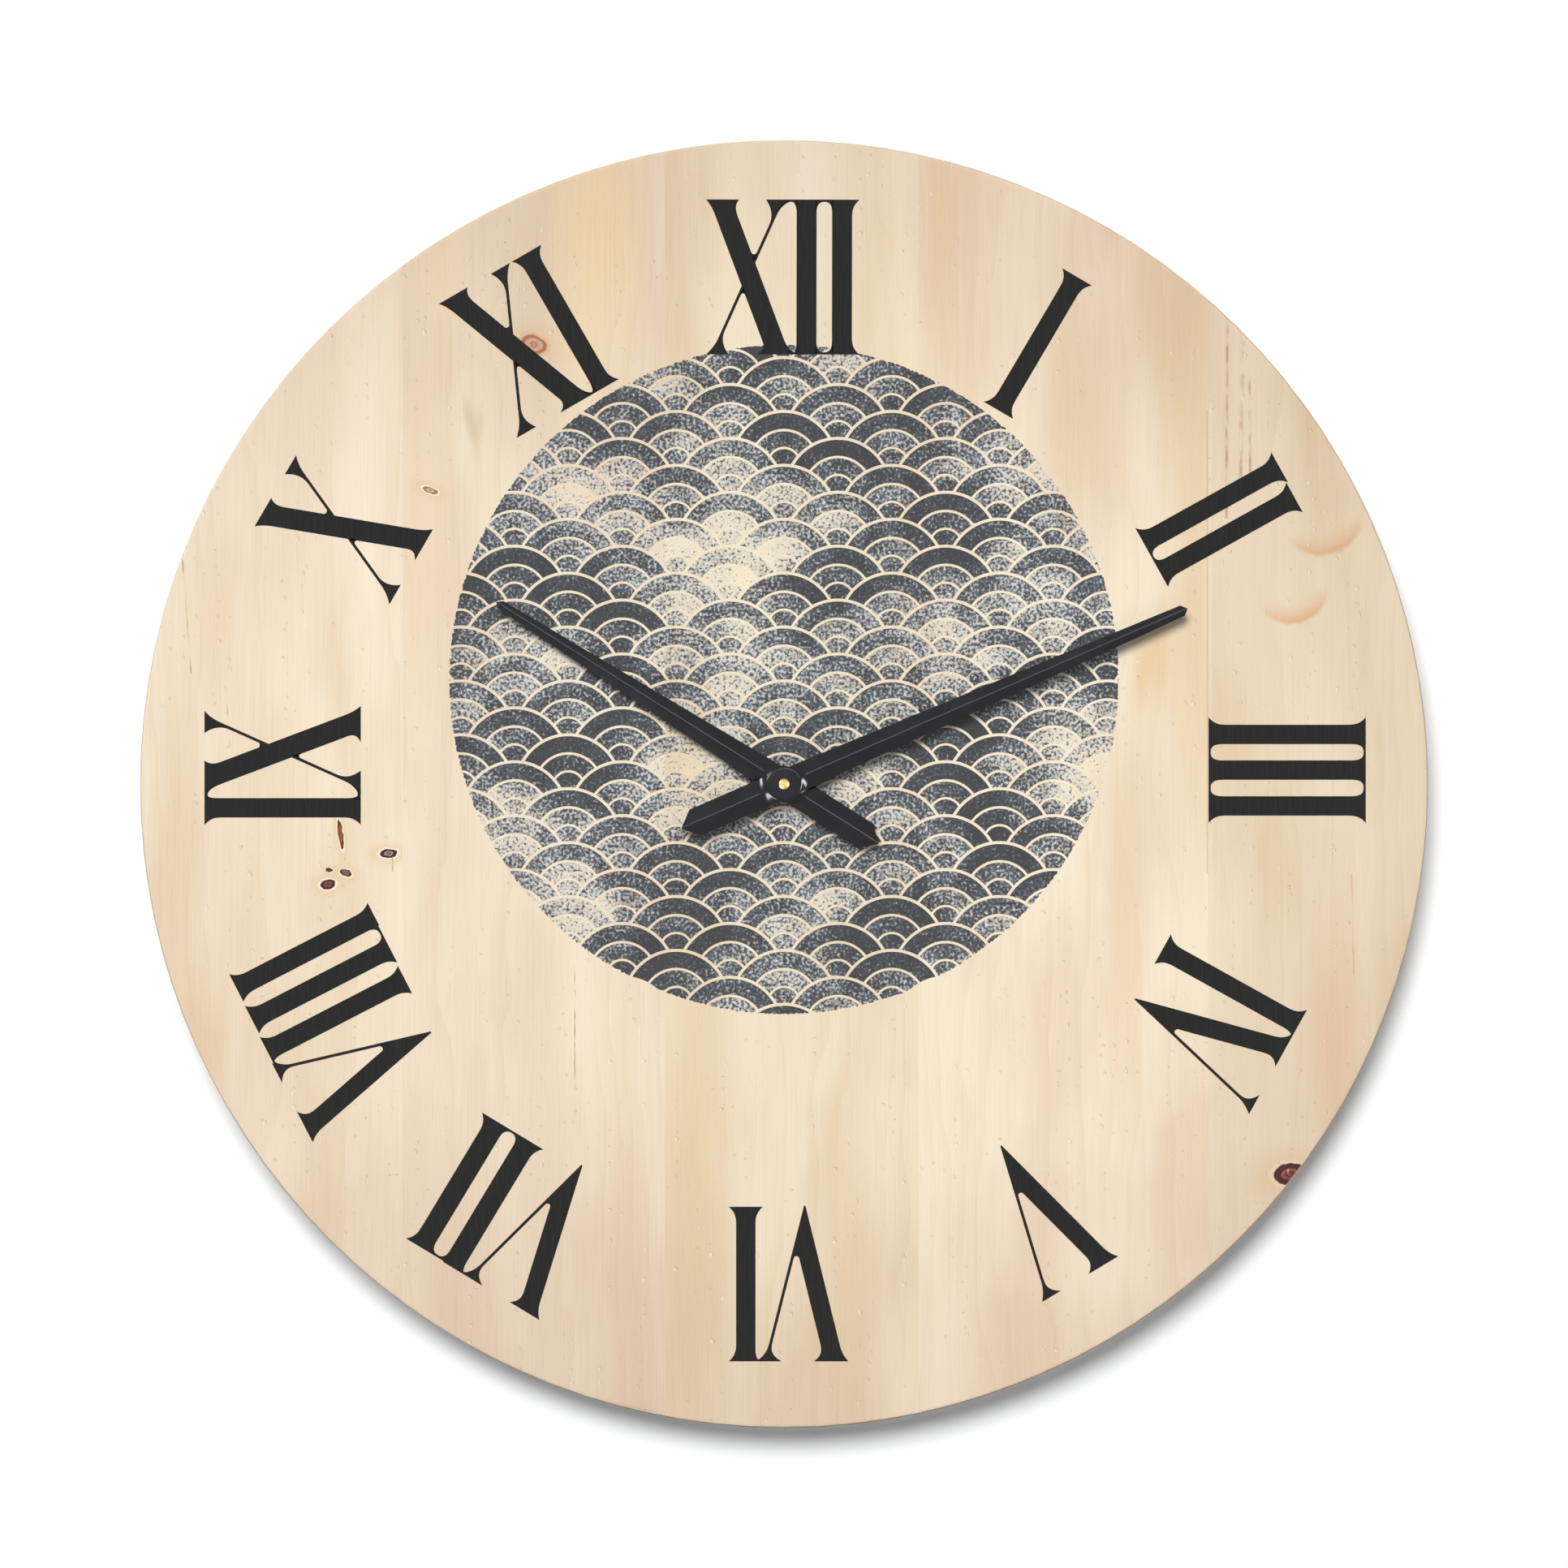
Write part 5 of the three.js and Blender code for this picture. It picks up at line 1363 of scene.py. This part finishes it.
@dataclass
class DryCell:
    """The cell in its bay: a can with a nub, rolled shoulders and a sunk base, in a film sleeve."""

    node: str = "battery"
    around: int = 72
    nub: float = 2.7
    sleeve: float = 7.25
    can: float = 7.0

    def turned(self, name: str, profile: np.ndarray) -> bpy.types.Mesh:
        """Turns a profile round the cell's axis.

        A point goes round at y = middle + radius times cos a and z = middle + radius times sin a.

        Args:
            name: The mesh's name.
            profile: Rows of place along x, and radius.

        Returns:
            The mesh.
        """
        low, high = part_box(self.node)
        middle = (low + high) / 2 / MM
        turn = np.linspace(0, 2 * math.pi, self.around, endpoint=False)
        shape = (len(profile), self.around)
        along, radius = profile[:, :1], profile[:, 1:]
        rings = np.stack([np.broadcast_to(middle.x + along, shape), middle.y + radius * np.cos(turn),
                          middle.z + radius * np.sin(turn)], axis=-1)
        return loft(name, rings)

    def build(self) -> None:
        """Turns the can and its sleeve, with the nub towards -x."""
        bend = np.linspace(0, math.pi / 2, 9)
        shoulder = np.stack([-22.75 - 1.1 * np.cos(bend), 5.9 + 1.1 * np.sin(bend)], axis=1)
        heel = np.stack([24.2 + 0.8 * np.sin(bend), self.can - 0.8 + 0.8 * np.cos(bend)], axis=1)
        tip = [(-25.25, self.nub - 0.5), (-25.2, self.nub - 0.2), (-25.0, self.nub), (-23.95, self.nub),
               (-23.85, self.nub + 0.15)]
        base = [(25.0, 5.2), (24.8, 4.9), (24.8, 4.6), (25.2, 4.3), (25.25, 4.0)]
        can = self.turned("can", np.concatenate([tip, shoulder, heel, base]))
        film = self.turned("film", np.array([
            (-23.0, 6.4), (-23.45, 6.85), (-23.3, 7.05), (-22.9, self.sleeve - 0.05), (-22.5, self.sleeve),
            (24.0, self.sleeve), (24.4, self.sleeve - 0.05), (24.75, 7.05), (24.85, 6.85), (24.4, 6.4)]))
        for mesh, name, finish, stands_for in ((can, "battery_can", FINISHES["can"], (self.node,)),
                                               (film, "battery_sleeve", FilmSleeve(), ())):
            smooth(mesh, 40.0)
            place(mesh, name, "clock_body", finish, "can", stands_for)


@dataclass
class RearCover:
    """The movement's cover, with arrows round the knob and the cell's polarity, sunk and painted."""

    node: str = "rear_cover"
    inner: float = 7.6
    outer: float = 8.4
    barb: float = 0.9
    sign: float = 1.5
    stroke: float = 0.35
    sunk: float = 0.3
    head: float = 16.0
    arc_points: int = 33
    sign_up: float = 3.2
    sign_in: float = 4.5

    def prism(self, outline: np.ndarray, front: float, rear: float) -> bpy.types.Mesh:
        """Stretches an outline between two depths.

        Args:
            outline: Points across and up.
            front: The nearer depth, below zero in front of the rear face.
            rear: The farther depth.

        Returns:
            The mesh.
        """
        levels = np.array([front, rear])[:, None]
        shape = (2, len(outline))
        return loft("prism", np.stack([np.broadcast_to(outline[:, 0], shape), np.broadcast_to(levels, shape),
                                        np.broadcast_to(outline[:, 1], shape)], axis=-1))

    def arrow(self, start: float, end: float) -> np.ndarray:
        """Outlines a curved arrow: an arc between two radii round the knob, with a barbed head.

        Args:
            start: The angle of its tail in degrees.
            end: The angle of its neck in degrees.

        Returns:
            Points across and up.
        """
        low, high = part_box("setting_knob")
        middle = (low + high) / 2 / MM
        turn = np.radians(np.linspace(start, end, self.arc_points))
        tip = math.radians(end + math.copysign(self.head, end - start))
        head = [self.outer + self.barb, (self.outer + self.inner) / 2, self.inner - self.barb]
        radii = np.concatenate([np.full_like(turn, self.outer), head, np.full_like(turn, self.inner)])
        angles = np.concatenate([turn, [turn[-1], tip, turn[-1]], turn[::-1]])
        return np.stack([middle.x + radii * np.cos(angles), middle.z + radii * np.sin(angles)], axis=1)

    def bar(self, across: float, up: float, half_x: float, half_z: float) -> np.ndarray:
        """Outlines an upright rectangle round a point."""
        return np.array([across, up]) + np.array([[-1, -1], [1, -1], [1, 1], [-1, 1]]) * (half_x, half_z)

    def build(self) -> None:
        """Cuts the signs into the cover."""
        low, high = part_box(self.node)
        level = low.z / MM + self.sign_up
        plus, minus = low.x / MM + self.sign_in, high.x / MM - self.sign_in
        outlines = [
            self.arrow(20.0, 140.0),
            self.arrow(200.0, 320.0),
            self.bar(minus, level, self.sign, self.stroke),
            self.bar(plus, level, self.sign, self.stroke),
            self.bar(plus, level, self.stroke, self.sign),
        ]
        holes = [self.prism(outline, -self.sunk, self.sunk) for outline in outlines]
        mesh = combine(self.node, [merged_copy(self.node), *holes], Merge.CUT)
        smooth(mesh, 35.0)
        place(mesh, f"{self.node}_dressed", "clock_body", FINISHES["black_plastic"], "black_plastic",
              (self.node,))
        fills = [self.prism(outline, -self.sunk - 0.05, -0.1) for outline in outlines]
        place(combine("cover_signs", fills, Merge.FUSE), "cover_signs", "clock_body", SIGN_PAINT,
              "white_plastic")


@dataclass
class Studio:
    """White wall behind the clock, a soft key from above left, fill from the room, and the camera."""

    distance: float = 4.0
    frame_width: float = 0.4946
    wall_gap: float = 0.0006
    wall_half: float = 3.0
    wall_glow: float = 0.06

    def wall(self) -> None:
        """Hangs a matt white wall just behind the clock, seen from its front only."""
        corner = self.wall_half * np.array([[-1, 0, -1], [1, 0, -1], [1, 0, 1], [-1, 0, 1]])
        corner[:, 1] = self.wall_gap
        mesh = bpy.data.meshes.new("wall")
        mesh.from_pydata(corner.tolist(), [], [(0, 1, 2, 3)])
        material = bpy.data.materials.new("white_emulsion_wall")
        material.use_nodes = True
        tree = material.node_tree
        tree.nodes.clear()
        add = partial(add_node, tree)
        matt = add("BsdfDiffuse", {"Color": (0.97, 0.97, 0.97, 1.0)})
        path = add("LightPath").outputs
        bright = add("Math", {0: path["Is Camera Ray"], 1: self.wall_glow}, operation="MULTIPLY")
        glow = add("Emission", {"Color": (0.5, 0.75, 1.0, 1.0), "Strength": bright})
        front = add("AddShader", {0: matt, 1: glow})
        clear = add("BsdfTransparent")
        behind = add("NewGeometry").outputs["Backfacing"]
        add("OutputMaterial", {"Surface": add("MixShader", {0: behind, 1: front, 2: clear})})
        mesh.materials.append(material)
        wall = show(bpy.data.objects.new("wall", mesh))
        # Light from behind still reaches the back of the clock, as if the wall weren't there.
        wall.visible_diffuse = wall.visible_glossy = wall.visible_transmission = wall.visible_shadow = False

    def hang(self, light: bpy.types.Light, away: tuple[float, float, float]) -> bpy.types.Object:
        """Hangs a light so that it shines back along a direction.

        Args:
            light: The light.
            away: Direction from the clock to the light.

        Returns:
            The lamp.
        """
        lamp = show(bpy.data.objects.new(light.name, light))
        lamp.rotation_mode = "QUATERNION"
        lamp.rotation_quaternion = Vector(away).to_track_quat("Z", "Y")
        return lamp

    def sun(self, name: str, away: tuple[float, float, float], share: float, spread: float) -> None:
        """Adds a soft sun.

        Args:
            name: The lamp's name.
            away: Direction from the clock to the lamp.
            share: The light that it gives a white surface square to the axis it is nearest to, of one.
            spread: Its angle in degrees.
        """
        light = bpy.data.lights.new(name, "SUN")
        toward = np.array(away) / np.linalg.norm(away)
        light.energy = share * math.pi / np.abs(toward).max()
        light.angle = math.radians(spread)
        self.hang(light, toward.tolist()).visible_glossy = False

    def strip(self, name: str, at: tuple[float, float, float], size: tuple[float, float],
              glow: float) -> None:
        """Hangs a narrow lamp that only shows as a highlight on edges.

        Args:
            name: The lamp's name.
            at: Its place in metres.
            size: Its width and height in metres.
            glow: How bright it looks, where a white surface is one.
        """
        light = bpy.data.lights.new(name, "AREA")
        light.shape = "RECTANGLE"
        light.size, light.size_y = size
        light.energy = glow * math.pi * size[0] * size[1]
        lamp = self.hang(light, at)
        lamp.location = at
        lamp.visible_diffuse = False

    def room(self, level: float) -> None:
        """Lights the room evenly, and shows it white.

        Args:
            level: The light that it gives, of one.
        """
        world = bpy.data.worlds.new("white_room")
        bpy.context.scene.world = world
        world.use_nodes = True
        tree = world.node_tree
        tree.nodes.clear()
        add = partial(add_node, tree)
        path = add("LightPath").outputs
        seen = add("Math", {0: path["Is Camera Ray"], 1: path["Is Transmission Ray"]}, operation="MAXIMUM")
        seen = add("Math", {0: seen, 1: path["Is Glossy Ray"]}, operation="MAXIMUM")
        strength = add("Mix", {"Factor": seen, "A": level, "B": 1.0})
        sky = add("Background", {"Color": (1.0, 1.0, 1.0, 1.0), "Strength": strength})
        add("OutputWorld", {"Surface": sky})

    def camera(self) -> None:
        """Stands the camera square in front of the dial."""
        data = bpy.data.cameras.new("front_camera")
        data.sensor_width = 36.0
        data.lens = data.sensor_width * (self.distance - FRONT * MM) / self.frame_width
        camera = show(bpy.data.objects.new("front_camera", data))
        camera.location = (0.0, -self.distance, 0.0)
        camera.rotation_euler = (math.pi / 2, 0.0, 0.0)
        bpy.context.scene.camera = camera

    def build(self) -> None:
        """Sets up camera, wall and light."""
        self.camera()
        self.wall()
        self.sun("key_sun", (-0.12, -1.0, 0.35), share=0.79, spread=23.0)
        self.sun("rear_sun", (-0.3, 1.0, 0.5), share=0.75, spread=25.0)
        # These stand a little behind the dial's front, so they light the rim and leave the front alone.
        self.sun("left_sun", (-1.0, 0.1, 0.25), share=0.14, spread=5.0)
        self.sun("right_sun", (1.0, 0.1, 0.25), share=0.14, spread=5.0)
        self.sun("top_sun", (0.0, 0.1, 1.0), share=0.1, spread=5.0)
        for end, y, glow in (("front", -1.0, 1.0), ("back", 1.0, 0.1)):
            self.strip(f"upper_left_{end}", (-1.0, y, 0.55), (0.4, 0.4), 44.0 * glow)
            self.strip(f"lower_left_{end}", (-0.9, y, -0.9), (0.9, 0.5), 34.0 * glow)
            self.strip(f"right_{end}", (1.2, y, -0.15), (0.4, 0.6), 40.0 * glow)
            self.strip(f"high_{end}", (0.1, y * 2.0, 0.30), (0.9, 0.15), 14.0 * glow)
        self.room(level=0.21)
        bpy.context.scene.view_settings.view_transform = "Standard"


def main() -> None:
    """Builds the clock in order."""
    logging.basicConfig(level=logging.INFO, format="%(message)s")
    Studio().build()
    Dial().build()
    Numerals().build()
    Hand("hour_hand", "hour_group", turn=302.3, length=107.2, tip_width=3.0, bore=2.62).build()
    Hand("minute_hand", "minute_group", turn=66.5, length=138.5, tip_width=3.6, bore=1.77).build()
    DryCell().build()
    RearCover().build()
    made = {"hour_hand", "minute_hand", "battery", "rear_cover", *Dial.nodes}
    bodies = frame["record"]["behaviour"]["bodies"]
    body_of = {node: body for body, nodes in bodies.items() for node in nodes}
    eased = {"movement_case": 0.4, "setting_knob": 0.25}
    for node, shown in frame["nodes"].items():
        if node not in made:
            slot = shown.material_slots[0].material.name.split(".")[0]
            finish = SCREW_ZINC if node.startswith("hanger_screw") else FINISHES[slot]
            dress(node, body_of[node], finish, slot, eased.get(node, 0.0))


if __name__ == "__main__":
    main()
